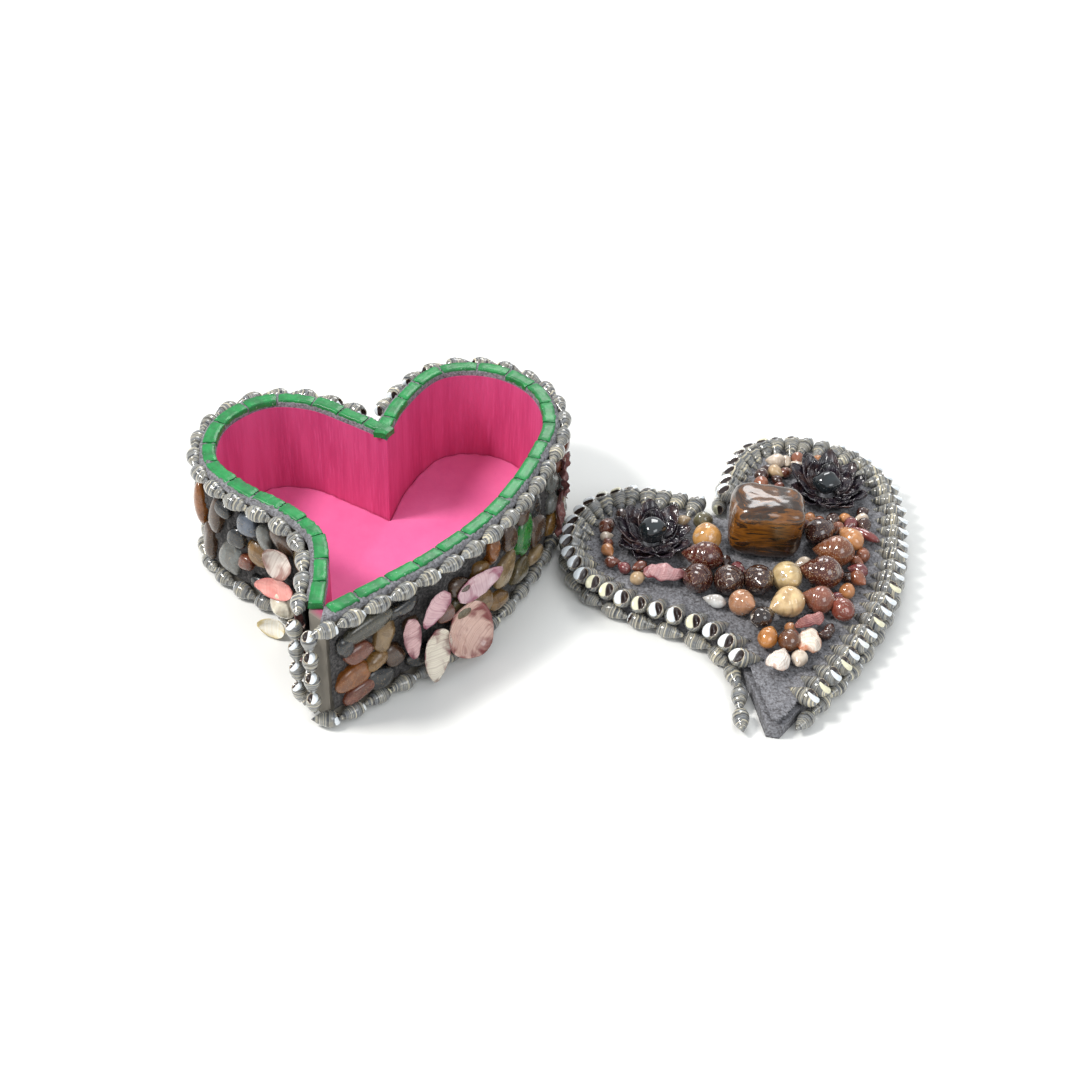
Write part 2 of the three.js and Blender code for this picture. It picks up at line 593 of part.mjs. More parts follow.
// ---------------------------------------------------------------- the whole, centred on its box
const shellBox = new THREE.Group();
shellBox.add(box, lid);
shellBox.updateMatrixWorld(true);
const middle = new THREE.Box3().setFromObject(shellBox, true).getCenter(new THREE.Vector3());
shellBox.position.set(-middle.x, -middle.y, 0);
shellBox.updateMatrixWorld(true);

export default shellBox;
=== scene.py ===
"""Looks of the shell box: a heart-shaped trinket box and its lid, dressed in shells and pebbles.

Shapes are worked out in millimetres in the box's own axes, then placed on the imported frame.
"""

import math

import bmesh
import bpy
import numpy as np
from mathutils import Matrix, Vector


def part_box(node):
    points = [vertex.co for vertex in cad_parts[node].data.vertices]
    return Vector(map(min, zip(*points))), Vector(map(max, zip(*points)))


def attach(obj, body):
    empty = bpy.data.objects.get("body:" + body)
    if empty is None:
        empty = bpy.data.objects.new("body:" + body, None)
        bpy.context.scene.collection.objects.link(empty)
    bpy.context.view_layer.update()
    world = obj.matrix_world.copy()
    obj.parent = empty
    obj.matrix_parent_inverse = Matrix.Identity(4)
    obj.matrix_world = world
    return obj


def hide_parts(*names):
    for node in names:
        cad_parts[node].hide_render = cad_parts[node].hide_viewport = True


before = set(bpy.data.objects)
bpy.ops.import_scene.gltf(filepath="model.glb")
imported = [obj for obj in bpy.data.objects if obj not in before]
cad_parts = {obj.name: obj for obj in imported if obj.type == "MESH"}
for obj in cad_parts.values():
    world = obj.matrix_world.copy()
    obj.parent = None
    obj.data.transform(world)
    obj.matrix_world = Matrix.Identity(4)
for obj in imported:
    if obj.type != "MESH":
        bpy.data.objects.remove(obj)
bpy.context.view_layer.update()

# ------------------------------------------------------------------ camera
MM = 0.001
CAMERA_PLACE = Vector((-6.9, -534.4, 466.9)) * MM
CAMERA_PITCH = 39.83  # degrees below the horizon
CAMERA_ROLL = 2.27
CAMERA_LENS = 56.0


def make_camera():
    data = bpy.data.cameras.new("camera")
    data.lens = CAMERA_LENS
    data.sensor_width = 36.0
    camera = bpy.data.objects.new("camera", data)
    bpy.context.scene.collection.objects.link(camera)
    turn = Matrix.Rotation(math.radians(90 - CAMERA_PITCH), 4, "X")
    turn = turn @ Matrix.Rotation(math.radians(CAMERA_ROLL), 4, "Z")
    camera.matrix_world = Matrix.Translation(CAMERA_PLACE) @ turn
    bpy.context.scene.camera = camera


# ------------------------------------------------------------------ sizes, as in the solids
GAP = 0.3
BOX_HEIGHT = 54.0
FLOOR_TOP = 7.8
WALL = 5.6
TILE_TOP = BOX_HEIGHT
BED_TOP = 52.0
WALL_TOP = 50.2
TILE_INNER = 0.2
TILE_OUTER = 5.9
TILE_PITCH = 13.0
TILE_BEVEL = 0.35
TILE_FOOT = BED_TOP - 0.9
TILE_JOINT = 0.45  # half the gap between two tiles
SHELL_RADIUS = 3.4
SHELL_PITCH = 12.0
EDGE_OFFSET = WALL + SHELL_RADIUS + 2 * GAP
GROUT_FACE = WALL + GAP + 2.3
RIM_LINE = BOX_HEIGHT - GAP - SHELL_RADIUS
BASE_LINE = GAP + SHELL_RADIUS
WALL_LOW = 2 * (SHELL_RADIUS + GAP) + 0.2
WALL_HIGH = BOX_HEIGHT - 2 * SHELL_RADIUS - GAP - 0.2
LID_BOARD = 6.0
LID_TOP = LID_BOARD + GAP + 3.0
LID_TURN = math.radians(10.5)
COLUMN_COUNT = 4
COLUMN_RADIUS = 3.1
TIGER_EYE_PLACE = (11.0, 7.0)
TIGER_EYE_HALF = (15.4, 12.0, 13.0)
CROWN_OFFSET = 11.5
CROWN_PITCH = 7.8
CROWN_LENGTH = 14.5
CROWN_RADIUS = 3.5
CROWN_DROP = 2.4
CROWN_HEIGHT = 2 * (SHELL_RADIUS + GAP) + CROWN_RADIUS

TIP = (-8.0, -87.5)
NOTCH = (5.0, 18.0)
RIGHT_KNOTS = [
    TIP, (28, -54), (49, -26), (64, 10), (69, 36), (62, 56), (45, 67.5), (25, 65), (11, 42), NOTCH,
]
LEFT_KNOTS = [
    TIP, (-8.5, -70), (-13, -46), (-27, -31), (-48, -17), (-62, -1),
    (-62, 22), (-48, 37.5), (-31, 38), (-13, 29), NOTCH,
]
# The blunt cuts at the tip: the way they face in degrees, and how far out from the tip.
BOX_CORNER = (-131, 4.5)
RIM_CORNER = (-131, 8)
LID_CORNER = (-110, 8)
UP = np.array([0.0, 0.0, 1.0])
# The points that lead each row of edge shells in at the tip, and about how many millimetres it skips.
ROW_STARTS = {
    "rim_shells_right": ([(-11.8, -101.8), (-7.3, -99.9)], 0),
    "rim_shells_left": ([(-17.6, -91)], 0),
    "base_shells_right": ([(-14.2, -97.8), (-5.9, -98.6)], 0),
    "base_shells_left": ([(-17.6, -90.5)], 0),
    "lid_edge_shells_right": ([(-2.5, -95.4)], 0),
    "lid_edge_shells_left": ([(-22.8, -94), (-20.8, -80)], 18),
}
CORNER_PLACES = {"corner_shells_right": (-12.6, -97.6), "corner_shells_left": (-18.8, -91.8)}
LOOP_COUNT = 240  # points on each side of a closed heart
RIPPLE_WAVES = 14
HEADING_REACH = 0.8  # how far each way along a line its heading is measured


# ------------------------------------------------------------------ curves
def unit(vector):
    vector = np.asarray(vector, float)
    return vector / np.linalg.norm(vector, axis=-1, keepdims=True)


def smooth_curve(knots, steps=40):
    """Centripetal Catmull-Rom curve through the knots, carried on past both ends."""
    p = np.array(knots, float)
    p = np.vstack([2 * p[0] - p[1], p, 2 * p[-1] - p[-2]])
    parts = []
    for i in range(1, len(p) - 2):
        a, b, c, d = p[i - 1 : i + 3]
        t = np.cumsum([0.0] + [math.sqrt(np.linalg.norm(y - x)) for x, y in ((a, b), (b, c), (c, d))])
        u = np.linspace(t[1], t[2], steps, endpoint=False)[:, None]
        ab = a + (b - a) * (u - t[0]) / (t[1] - t[0])
        bc = b + (c - b) * (u - t[1]) / (t[2] - t[1])
        cd = c + (d - c) * (u - t[2]) / (t[3] - t[2])
        abc = ab + (bc - ab) * (u - t[0]) / (t[2] - t[0])
        bcd = bc + (cd - bc) * (u - t[1]) / (t[3] - t[1])
        parts.append(abc + (bcd - abc) * (u - t[1]) / (t[2] - t[1]))
    return np.vstack([*parts, p[-2:-1]])


class Path:
    """A line in plan, read by distance along it."""

    def __init__(self, points):
        self.points = np.asarray(points, float)
        steps = np.linalg.norm(np.diff(self.points, axis=0), axis=1)
        self.reach = np.concatenate([[0.0], np.cumsum(steps)])
        self.length = self.reach[-1]

    def at(self, s):
        return np.stack([np.interp(s, self.reach, self.points[:, k]) for k in (0, 1)], -1)

    def heading(self, s):
        s = np.clip(s, HEADING_REACH, self.length - HEADING_REACH)
        return unit(self.at(s + HEADING_REACH) - self.at(s - HEADING_REACH))

    def even(self, count):
        return self.at(np.linspace(0, self.length, count))


class Side:
    """One side of the heart, from the curled tip to the notch, with the way out of the box."""

    def __init__(self, knots, hand):
        self.hand = hand
        self.path = Path(smooth_curve(knots))
        self.length = self.path.length
        self.s = np.linspace(0, self.length, int(self.length) + 1)
        self.samples = self.path.at(self.s)
        self.outward = self.out(self.s)

    def out(self, s):
        heading = self.path.heading(s)
        return np.stack([heading[..., 1], -heading[..., 0]], -1) * self.hand

    def wall(self, s, height, distance):
        """Places on the outside of the wall: along, up, and out from the inner face."""
        flat = self.path.at(s) + self.out(s) * np.asarray(distance, float)[..., None]
        return np.concatenate([flat, np.broadcast_to(height, flat.shape[:-1])[..., None]], -1)

    def spot(self, along, height, distance):
        """One place on the outside of the wall."""
        return self.wall(np.array(float(along)), height, np.array(float(distance)))


RIGHT = Side(RIGHT_KNOTS, 1)
LEFT = Side(LEFT_KNOTS, -1)


def clearance(side, points):
    return np.linalg.norm(points[:, None] - side.samples[None], axis=-1).min(1)


def offset_line(side, offset, corner=None, extend=0.0, clear=GAP / 2, lead=(), skip=0):
    """The line at a distance outside one side, trimmed at the notch and led in at the tip."""
    other = LEFT if side is RIGHT else RIGHT
    line = side.samples + side.outward * offset
    far = abs(offset)
    keep = (clearance(side, line) > far - 0.05) & (clearance(other, line) > far + clear)
    keep[:skip] = False
    line = line[keep] if far > 0 else line
    ahead = -side.path.heading(0.0)
    if corner:
        facing = np.array([math.cos(math.radians(corner[0])), math.sin(math.radians(corner[0]))])
        extend = (corner[1] - (line[0] - TIP) @ facing) / (ahead @ facing)
    if corner or extend:
        line = np.vstack([line[0] + ahead * extend, line])
    if lead:
        line = smooth_curve([*lead, *line[: -3 : max(1, len(line) // 40)], line[-1]], 6)
    return Path(line)


def heart_loop(offset, **options):
    """The closed heart at a distance outside the inner wall, always with the same point count."""
    right = offset_line(RIGHT, offset, **options).even(LOOP_COUNT)
    left = offset_line(LEFT, offset, **options).even(LOOP_COUNT)[::-1]
    return np.vstack([right, left[1:-1]] if offset == 0 else [right, left])


# ------------------------------------------------------------------ placing on the frame
def turned(points, angle):
    c, s = math.cos(angle), math.sin(angle)
    out = np.array(points, float)
    x, y = points[..., 0], points[..., 1]
    out[..., 0] = c * x - s * y
    out[..., 1] = s * x + c * y
    return out


def node_middle(node):
    low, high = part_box(node)
    return np.array([(low.x + high.x) / 2, (low.y + high.y) / 2]) / MM


def plan_middle(loop):
    return (loop.min(0) + loop.max(0)) / 2


BOX_ORIGIN = node_middle("box_body") - plan_middle(heart_loop(WALL, corner=BOX_CORNER))
LID_ORIGIN = node_middle("lid_grout") - plan_middle(turned(heart_loop(-4.5), LID_TURN))
PLACES = {"box": (BOX_ORIGIN, 0.0), "lid": (LID_ORIGIN, LID_TURN)}


# ------------------------------------------------------------------ meshes
def ripple(points, size, seed):
    """Smooth random relief of about one unit, with bumps about `size` mm across."""
    rng = np.random.default_rng(seed)
    directions = unit(rng.normal(size=(RIPPLE_WAVES, 3))) * rng.uniform(0.7, 1.6, (RIPPLE_WAVES, 1))
    phase = rng.uniform(0, 2 * math.pi, RIPPLE_WAVES)
    waves = np.sin(points @ directions.T * (2 * math.pi / size) + phase)
    return waves.sum(-1) * math.sqrt(2 / RIPPLE_WAVES)


def lattice(rows, columns, closed=False):
    """Quads over a grid of points, joined round when closed."""
    r = np.arange(rows - 1)[:, None]
    c = np.arange(columns if closed else columns - 1)[None]
    n = (c + 1) % columns
    quads = [r * columns + c, r * columns + n, (r + 1) * columns + n, (r + 1) * columns + c]
    return np.stack(quads, -1).reshape(-1, 4)


def pod_faces(rows, columns):
    """Faces of a closed pod: `rows` rings of points, then the two end points."""
    turn = np.arange(columns)
    after = (turn + 1) % columns
    first, last = rows * columns, rows * columns + 1
    start = np.stack([after, turn, np.full(columns, first)], -1)
    low = (rows - 1) * columns
    end = np.stack([low + turn, low + after, np.full(columns, last)], -1)
    return [lattice(rows, columns, True), start, end]


def ball_points(rows, columns, edge=1.0):
    """A unit ball as `rows` rings and its two end points, squarer where `edge` is under 1."""
    latitude = ((np.arange(rows) + 0.5) / rows * math.pi)[:, None]
    longitude = np.arange(columns)[None] * 2 * math.pi / columns

    def rounded(x):
        return np.sign(x) * np.abs(x) ** edge

    rings = np.broadcast_arrays(
        rounded(np.cos(longitude)) * rounded(np.sin(latitude)),
        rounded(np.sin(longitude)) * rounded(np.sin(latitude)),
        rounded(np.cos(latitude)),
    )
    return np.vstack([np.stack(rings, -1).reshape(-1, 3), [0, 0, 1], [0, 0, -1]])


def basis(along, up):
    """Rows: side, along and lift, square to each other."""
    along = unit(along)
    side = unit(np.cross(along, up))
    return np.array([side, along, np.cross(side, along)])


class Cluster:
    """Many small meshes gathered into one object, with named values at their points."""

    def __init__(self, name, home):
        self.name = name
        self.home = home
        self.points = []
        self.faces = {3: [], 4: []}
        self.values = []
        self.count = 0

    def add(self, points, faces, **values):
        points = np.asarray(points, float).reshape(-1, 3)
        for block in faces if isinstance(faces, list) else [faces]:
            self.faces[block.shape[1]].append(block + self.count)
        self.points.append(points)
        full = {}
        for key, value in values.items():
            value = np.asarray(value, float)
            shape = (len(points), 3) if value.shape and value.shape[-1] == 3 else (len(points),)
            full[key] = np.broadcast_to(value, shape)
        self.values.append((len(points), full))
        self.count += len(points)

    def build(self, material, nodes=()):
        origin, angle = PLACES[self.home]
        points = turned(np.vstack(self.points), angle)
        points[:, :2] += origin
        blocks = [np.vstack(self.faces[size]) for size in (3, 4) if self.faces[size]]
        corners = np.concatenate([block.ravel() for block in blocks])
        totals = np.concatenate([np.full(len(block), block.shape[1]) for block in blocks])
        mesh = bpy.data.meshes.new(self.name)
        mesh.vertices.add(len(points))
        mesh.vertices.foreach_set("co", (points * MM).ravel())
        mesh.loops.add(len(corners))
        mesh.loops.foreach_set("vertex_index", corners)
        mesh.polygons.add(len(totals))
        mesh.polygons.foreach_set("loop_start", np.concatenate([[0], np.cumsum(totals)[:-1]]))
        mesh.polygons.foreach_set("loop_total", totals)
        mesh.polygons.foreach_set("use_smooth", np.full(len(totals), True))
        self.write_values(mesh)
        mesh.update()
        mesh.validate()
        piece = bpy.data.objects.new(self.name, mesh)
        bpy.context.scene.collection.objects.link(piece)
        dress(piece, material)
        if nodes:
            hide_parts(*nodes)
        return piece

    def write_values(self, mesh):
        names = {}
        for _, full in self.values:
            for key, value in full.items():
                names[key] = value.ndim
        for key, depth in names.items():
            if depth == 2:
                data = np.vstack([full.get(key, np.zeros((n, 3))) for n, full in self.values])
                layer = mesh.attributes.new(key, "FLOAT_COLOR", "POINT")
                layer.data.foreach_set("color", np.hstack([data, np.ones((len(data), 1))]).ravel())
            else:
                data = np.concatenate([full.get(key, np.zeros(n)) for n, full in self.values])
                layer = mesh.attributes.new(key, "FLOAT", "POINT")
                layer.data.foreach_set("value", data.astype(np.float32))


def cap(piece, *rings):
    """Closes a piece with one face over each ring of point numbers."""
    mesh = bmesh.new()
    mesh.from_mesh(piece.data)
    mesh.verts.ensure_lookup_table()
    for ring in rings:
        mesh.faces.new([mesh.verts[i] for i in ring])
    bmesh.ops.recalc_face_normals(mesh, faces=mesh.faces)
    mesh.to_mesh(piece.data)
    mesh.free()


def dress(piece, material):
    piece.data.materials.clear()
    piece.data.materials.append(material)
    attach(piece, "root")


def srgb(red, green, blue):
    """An everyday 0 to 255 colour as the linear colour that the shaders use."""
    value = np.array([red, green, blue]) / 255
    return np.where(value <= 0.04045, value / 12.92, ((value + 0.055) / 1.055) ** 2.4)


def colour4(colour):
    return (*[float(c) for c in colour], 1.0)


# ------------------------------------------------------------------ material helpers
class Shader:
    """A short way to write a material's nodes."""

    def __init__(self, name, **sockets):
        self.material = bpy.data.materials.new(name)
        self.material.use_nodes = True
        self.tree = self.material.node_tree
        self.surface = self.tree.nodes["Principled BSDF"]
        for key, value in sockets.items():
            self.surface.inputs[key.replace("_", " ").title().replace("Ior", "IOR")].default_value = value

    def node(self, kind, inputs=None, **settings):
        made = self.tree.nodes.new(kind)
        for key, value in settings.items():
            setattr(made, key, value)
        for key, value in (inputs or {}).items():
            self.feed(made.inputs[key], value)
        return made

    def feed(self, socket, value):
        if isinstance(value, bpy.types.NodeSocket):
            self.tree.links.new(value, socket)
        else:
            socket.default_value = value

    def value(self, name):
        return self.node("ShaderNodeAttribute", attribute_name=name).outputs["Fac"]

    def paint(self, name):
        return self.node("ShaderNodeAttribute", attribute_name=name).outputs["Color"]

    def place(self, scale=(1000.0, 1000.0, 1000.0), turn=(0.0, 0.0, 0.0)):
        """Where a point is on the object, in millimetres unless scaled."""
        where = self.node("ShaderNodeTexCoord").outputs["Object"]
        inputs = {"Vector": where, "Scale": scale, "Rotation": turn}
        return self.node("ShaderNodeMapping", inputs).outputs["Vector"]

    def noise(self, scale, detail=2.0, rough=0.5, where=None, warp=0.0):
        inputs = {"Scale": scale, "Detail": detail, "Roughness": rough, "Distortion": warp}
        inputs["Vector"] = self.place() if where is None else where
        return self.node("ShaderNodeTexNoise", inputs).outputs["Fac"]

    def noise_line(self, w, scale, detail=1.0):
        """Noise along one number, for bands."""
        made = self.node("ShaderNodeTexNoise", {"Scale": scale, "Detail": detail}, noise_dimensions="1D")
        self.feed(made.inputs["W"], w)
        return made.outputs["Fac"]

    def math(self, operation, a, b):
        made = self.node("ShaderNodeMath", operation=operation)
        for socket, value in zip(made.inputs, (a, b)):
            self.feed(socket, value)
        return made.outputs[0]

    def step(self, value, low, high):
        """0 below `low`, 1 above `high`, smooth between; falls instead when low is above high."""
        inputs = {"Value": value, "From Min": low, "From Max": high}
        return self.node("ShaderNodeMapRange", inputs, interpolation_type="SMOOTHSTEP").outputs[0]

    def mix(self, factor, a, b, blend="MIX"):
        made = self.node("ShaderNodeMix", data_type="RGBA", blend_type=blend)
        self.feed(made.inputs[0], factor)
        for socket, value in ((made.inputs[6], a), (made.inputs[7], b)):
            self.feed(socket, value if isinstance(value, bpy.types.NodeSocket) else colour4(value))
        return made.outputs[2]

    def ramp(self, value, stops):
        """Colours along a value; each stop is its position and its everyday 0 to 255 colour."""
        made = self.node("ShaderNodeValToRGB", {"Fac": value})
        while len(made.color_ramp.elements) < len(stops):
            made.color_ramp.elements.new(0.5)
        for element, (position, colour) in zip(made.color_ramp.elements, stops):
            element.position = position
            element.color = colour4(srgb(*colour))
        return made.outputs["Color"]

    def bump(self, height, distance):
        """Relief: `height` is 0 to 1 and `distance` is its depth in millimetres."""
        inputs = {"Height": height, "Distance": distance * MM, "Strength": 1.0}
        self.feed(self.surface.inputs["Normal"], self.node("ShaderNodeBump", inputs).outputs[0])

    def colour(self, value):
        self.feed(self.surface.inputs["Base Color"], value)

    def gloss(self, value):
        self.feed(self.surface.inputs["Roughness"], value)


def banded_material():
    """Slate, grey and cream bands round the shell, a white callus, and a mouth painted near-black: brown
    inside, with painted shade for the depth of the hole.
    """
    shader = Shader("banded_shell", coat_weight=0.7, coat_roughness=0.06)
    band = shader.value("stripe")
    seed = shader.value("seed")
    lines = shader.noise_line(shader.math("ADD", band, shader.math("MULTIPLY", seed, 91.0)), 0.75, 1.0)
    tones = shader.ramp(lines, [
        (0.30, (52, 55, 60)), (0.40, (82, 86, 92)), (0.45, (150, 148, 140)),
        (0.50, (92, 96, 102)), (0.56, (132, 134, 134)), (0.60, (216, 206, 176)),
        (0.66, (104, 108, 112)),
    ])
    patina = shader.noise(0.5, 3.0)
    tones = shader.mix(shader.step(patina, 0.35, 0.75), tones, shader.mix(0.35, tones, srgb(150, 138, 108)))
    callus = shader.step(shader.value("callus"), 0.15, -0.1)
    cream = shader.mix(shader.step(seed, 0.75, 0.9), srgb(226, 232, 236), srgb(226, 222, 190))
    tones = shader.mix(callus, tones, cream)
    near_mouth = shader.step(shader.value("mouth"), 0.5, 0.3)
    lip = shader.math("MULTIPLY", near_mouth, shader.math("SUBTRACT", 1.0, callus))
    tones = shader.mix(lip, tones, srgb(196, 178, 150))
    # The opening's near-black is the brown inside of the mouth with painted shade for the depth of the hole,
    # which the shallow dimple lacks.
    opening = shader.step(shader.value("mouth"), 0.08, -0.1)
    shader.colour(shader.mix(opening, tones, srgb(38, 20, 16)))
    shader.gloss(shader.step(opening, -0.8, 4.0))
    shader.bump(shader.noise(1.6, 2.0), 0.08)
    return shader.material


def pebble_material():
    """Polished stone: the stone's own colour, cloudy and veined."""
    shader = Shader("polished_pebble", coat_weight=0.5, coat_roughness=0.08)
    tint = shader.paint("tint")
    cloud = shader.noise(0.22, 4.0, 0.55, warp=0.6)
    shade = shader.mix(1.0, tint, (0.55, 0.5, 0.46), "MULTIPLY")
    tone = shader.mix(shader.step(cloud, 0.3, 0.75), shade, tint)
    speck = shader.noise(1.8, 3.0, 0.6)
    speck = shader.math("MULTIPLY", shader.step(speck, 0.58, 0.7), 0.35)
    tone = shader.mix(speck, tone, srgb(190, 160, 110))
    shader.colour(tone)
    shader.gloss(shader.step(cloud, -0.9, 3.2))
    shader.bump(shader.noise(0.8, 4.0), 0.1)
    return shader.material


def grout_material(name="grout", pale=(122, 122, 126), dark=(78, 75, 76), crest=(148, 148, 152)):
    """Rough set grout in cloudy dark, pale and palest tones, with bumps of its own."""
    shader = Shader(name, roughness=0.8, specular_ior_level=0.4)
    rough = shader.noise(0.9, 6.0, 0.65)
    shader.colour(shader.ramp(rough, [(0.36, dark), (0.52, pale), (0.66, crest)]))
    shader.bump(shader.noise(1.3, 6.0, 0.6), 0.4)
    return shader.material


def tile_material():
    """Glossy green glass with chipped pale edges."""
    shader = Shader("green_tile", roughness=0.42, coat_weight=0.15, coat_roughness=0.15)
    cloud = shader.noise(0.25, 3.0)
    tone = shader.mix(shader.step(cloud, 0.3, 0.7), srgb(0, 104, 46), srgb(0, 132, 60))
    chips = shader.step(shader.noise(1.1, 5.0, 0.7), 0.62, 0.7)
    chips = shader.math("MULTIPLY", chips, shader.value("worn"))
    shader.colour(shader.mix(chips, tone, srgb(178, 206, 190)))
    shader.bump(shader.noise(0.5, 3.0), 0.15)
    return shader.material


def pink_wall_material():
    """Magenta paint brushed upright on wood, and grey plaster where `outside` is 1."""
    shader = Shader("pink_paint", roughness=0.62, specular_ior_level=0.3)
    streak = shader.noise(1.0, 3.0, 0.6, where=shader.place((120.0, 120.0, 12.0)))
    fine = shader.noise(1.0, 3.0, 0.7, where=shader.place((900.0, 900.0, 60.0)))
    tone = shader.ramp(streak, [(0.3, (186, 62, 112)), (0.5, (200, 74, 124)), (0.7, (210, 86, 136))])
    tone = shader.mix(shader.step(fine, 0.45, 0.8), tone, srgb(212, 88, 140))
    shader.colour(shader.mix(shader.value("outside"), tone, srgb(128, 122, 112)))
    shader.bump(fine, 0.12)
    return shader.material


def pink_floor_material():
    """Pink paper with faint blemishes."""
    shader = Shader("pink_paper", roughness=0.75, specular_ior_level=0.25)
    cloud = shader.noise(0.05, 4.0, 0.6)
    tone = shader.ramp(cloud, [(0.3, (218, 98, 152)), (0.7, (230, 112, 164))])
    spot = shader.step(shader.noise(0.35, 5.0, 0.7), 0.68, 0.76)
    shader.colour(shader.mix(shader.math("MULTIPLY", spot, 0.5), tone, srgb(190, 70, 110)))
    shader.bump(shader.noise(0.8, 5.0, 0.6), 0.12)
    return shader.material


def mussel_material():
    """Dark petals: violet black with brown, and pale flecks on the ribs."""
    shader = Shader("dark_petal", coat_weight=0.8, coat_roughness=0.08)
    cloud = shader.noise(0.18, 3.0, 0.5, warp=0.5)
    tone = shader.ramp(cloud, [(0.3, (20, 18, 22)), (0.5, (44, 36, 46)), (0.68, (78, 56, 52))])
    rib = shader.step(shader.value("rib"), 0.55, 0.9)
    fleck = shader.step(shader.noise(0.7, 4.0, 0.7), 0.5, 0.6)
    pale = shader.math("MULTIPLY", shader.math("MULTIPLY", rib, fleck), shader.value("edge"))
    shader.colour(shader.mix(pale, tone, srgb(186, 176, 170)))
    shader.gloss(shader.step(cloud, -0.5, 3.2))
    shader.bump(shader.value("rib"), 0.25)
    return shader.material


def black_stone_material():
    """Black glassy pebble with a faint blue-green depth."""
    shader = Shader("black_stone", roughness=0.07, coat_weight=1.0, coat_roughness=0.03)
    shader.colour(shader.ramp(shader.noise(0.2, 3.0), [(0.35, (10, 14, 16)), (0.7, (26, 36, 40))]))
    shader.bump(shader.noise(0.3, 2.0), 0.1)
    return shader.material


def tiger_eye_material():
    """Brown and gold bands in a polished tumbled stone."""
    shader = Shader("tiger_eye", roughness=0.24, coat_weight=0.6, coat_roughness=0.12)
    where = shader.place((60.0, 150.0, 420.0), (0.0, math.radians(-12), math.radians(20)))
    bands = shader.noise(0.42, 5.0, 0.6, where=where, warp=0.9)
    tone = shader.ramp(bands, [
        (0.28, (34, 20, 10)), (0.40, (78, 46, 18)), (0.47, (44, 32, 20)), (0.52, (138, 84, 26)),
        (0.60, (82, 50, 20)), (0.66, (150, 92, 24)), (0.74, (176, 118, 40)),
    ])
    cloud = shader.noise(0.06, 2.0)
    shader.colour(shader.mix(shader.step(cloud, 0.35, 0.7), shader.mix(0.6, tone, srgb(30, 20, 14)), tone))
    shader.bump(bands, 0.12)
    return shader.material


def speckled_material():
    """Snails of the lid: the shell's own colour with fine pale netting and stray white flecks."""
    shader = Shader("speckled_shell", coat_weight=0.9, coat_roughness=0.05)
    tint = shader.paint("tint")
    spots = shader.node("ShaderNodeTexVoronoi", {"Vector": shader.place(), "Scale": 1.25})
    dots = shader.step(spots.outputs["Distance"], 0.34, 0.2)
    dots = shader.math("MULTIPLY", dots, shader.value("speckle"))
    tone = shader.mix(dots, tint, shader.mix(0.55, tint, srgb(226, 190, 150)))
    fleck = shader.step(shader.noise(0.42, 3.0, 0.6, warp=1.2), 0.6, 0.66)
    tone = shader.mix(shader.math("MULTIPLY", fleck, shader.value("fleck")), tone, srgb(228, 220, 208))
    cloud = shader.step(shader.noise(0.25, 3.0), 0.3, 0.7)
    tone = shader.mix(cloud, shader.mix(1.0, tone, (0.62, 0.56, 0.52), "MULTIPLY"), tone)
    lip = shader.step(shader.value("mouth"), 0.3, 0.15)
    tone = shader.mix(lip, tone, srgb(214, 200, 184))
    # The opening's dark is the brown inside of the mouth with painted shade for the depth of the hole.
    opening = shader.step(shader.value("mouth"), 0.02, -0.1)
    shader.colour(shader.mix(opening, tone, srgb(52, 34, 28)))
    shader.gloss(shader.step(cloud, -0.4, 4.0))
    shader.bump(shader.noise(0.9, 3.0), 0.1)
    return shader.material


def valve_material():
    """Open valves: their own pale colour, stained along the middle and reddened at the rim."""
    shader = Shader("stained_valve", coat_weight=0.6, coat_roughness=0.1)
    tint = shader.paint("tint")
    stain = shader.paint("stain")
    cloud = shader.noise(0.12, 3.0, 0.5, warp=1.0)
    patch = shader.math("ADD", cloud, shader.math("MULTIPLY", shader.value("rim"), 0.22))
    patch = shader.step(patch, 0.56, 0.82)
    tone = shader.mix(patch, tint, stain)
    growth = shader.noise_line(shader.value("growth"), 1.4, 2.0)
    tone = shader.mix(shader.math("MULTIPLY", shader.step(growth, 0.4, 0.7), 0.3), tone, stain)
    shader.colour(tone)
    shader.gloss(shader.step(cloud, -0.5, 2.6))
    shader.bump(growth, 0.18)
    return shader.material


BANDED = banded_material()
PEBBLE = pebble_material()
GROUT = grout_material()
# The grout between the wall's pebbles is a darker copy of the grout: its near-black is partly dark glue and
# partly painted shade in the gaps between the pebbles.
SHADED_WALL_GROUT = grout_material("shaded_wall_grout", (62, 60, 60), (26, 24, 24), (92, 90, 88))
TILE = tile_material()
PINK_WALL = pink_wall_material()
PINK_FLOOR = pink_floor_material()
MUSSEL = mussel_material()
BLACK_STONE = black_stone_material()
TIGER_EYE = tiger_eye_material()
SPECKLED = speckled_material()
VALVE = valve_material()


# ------------------------------------------------------------------ snails
WHORL_SHRINK = 0.6  # each turn of a shell is this much narrower than the last
SUTURE_DEPTH = 0.12
NO_MOUTH = 2.0
# The flat of the mouth: where it stands along the shell, then shares of the shell's radius.
MOUTH_ALONG = 0.74
MOUTH_LIFT = 0.66
MOUTH_HALF_HIGH, MOUTH_HALF_WIDE = 1.12, 0.98
OPENING_EDGE, LIP_EDGE = 0.84, 1.06
OPENING_SINK, CALLUS_RISE = 0.55, 0.1


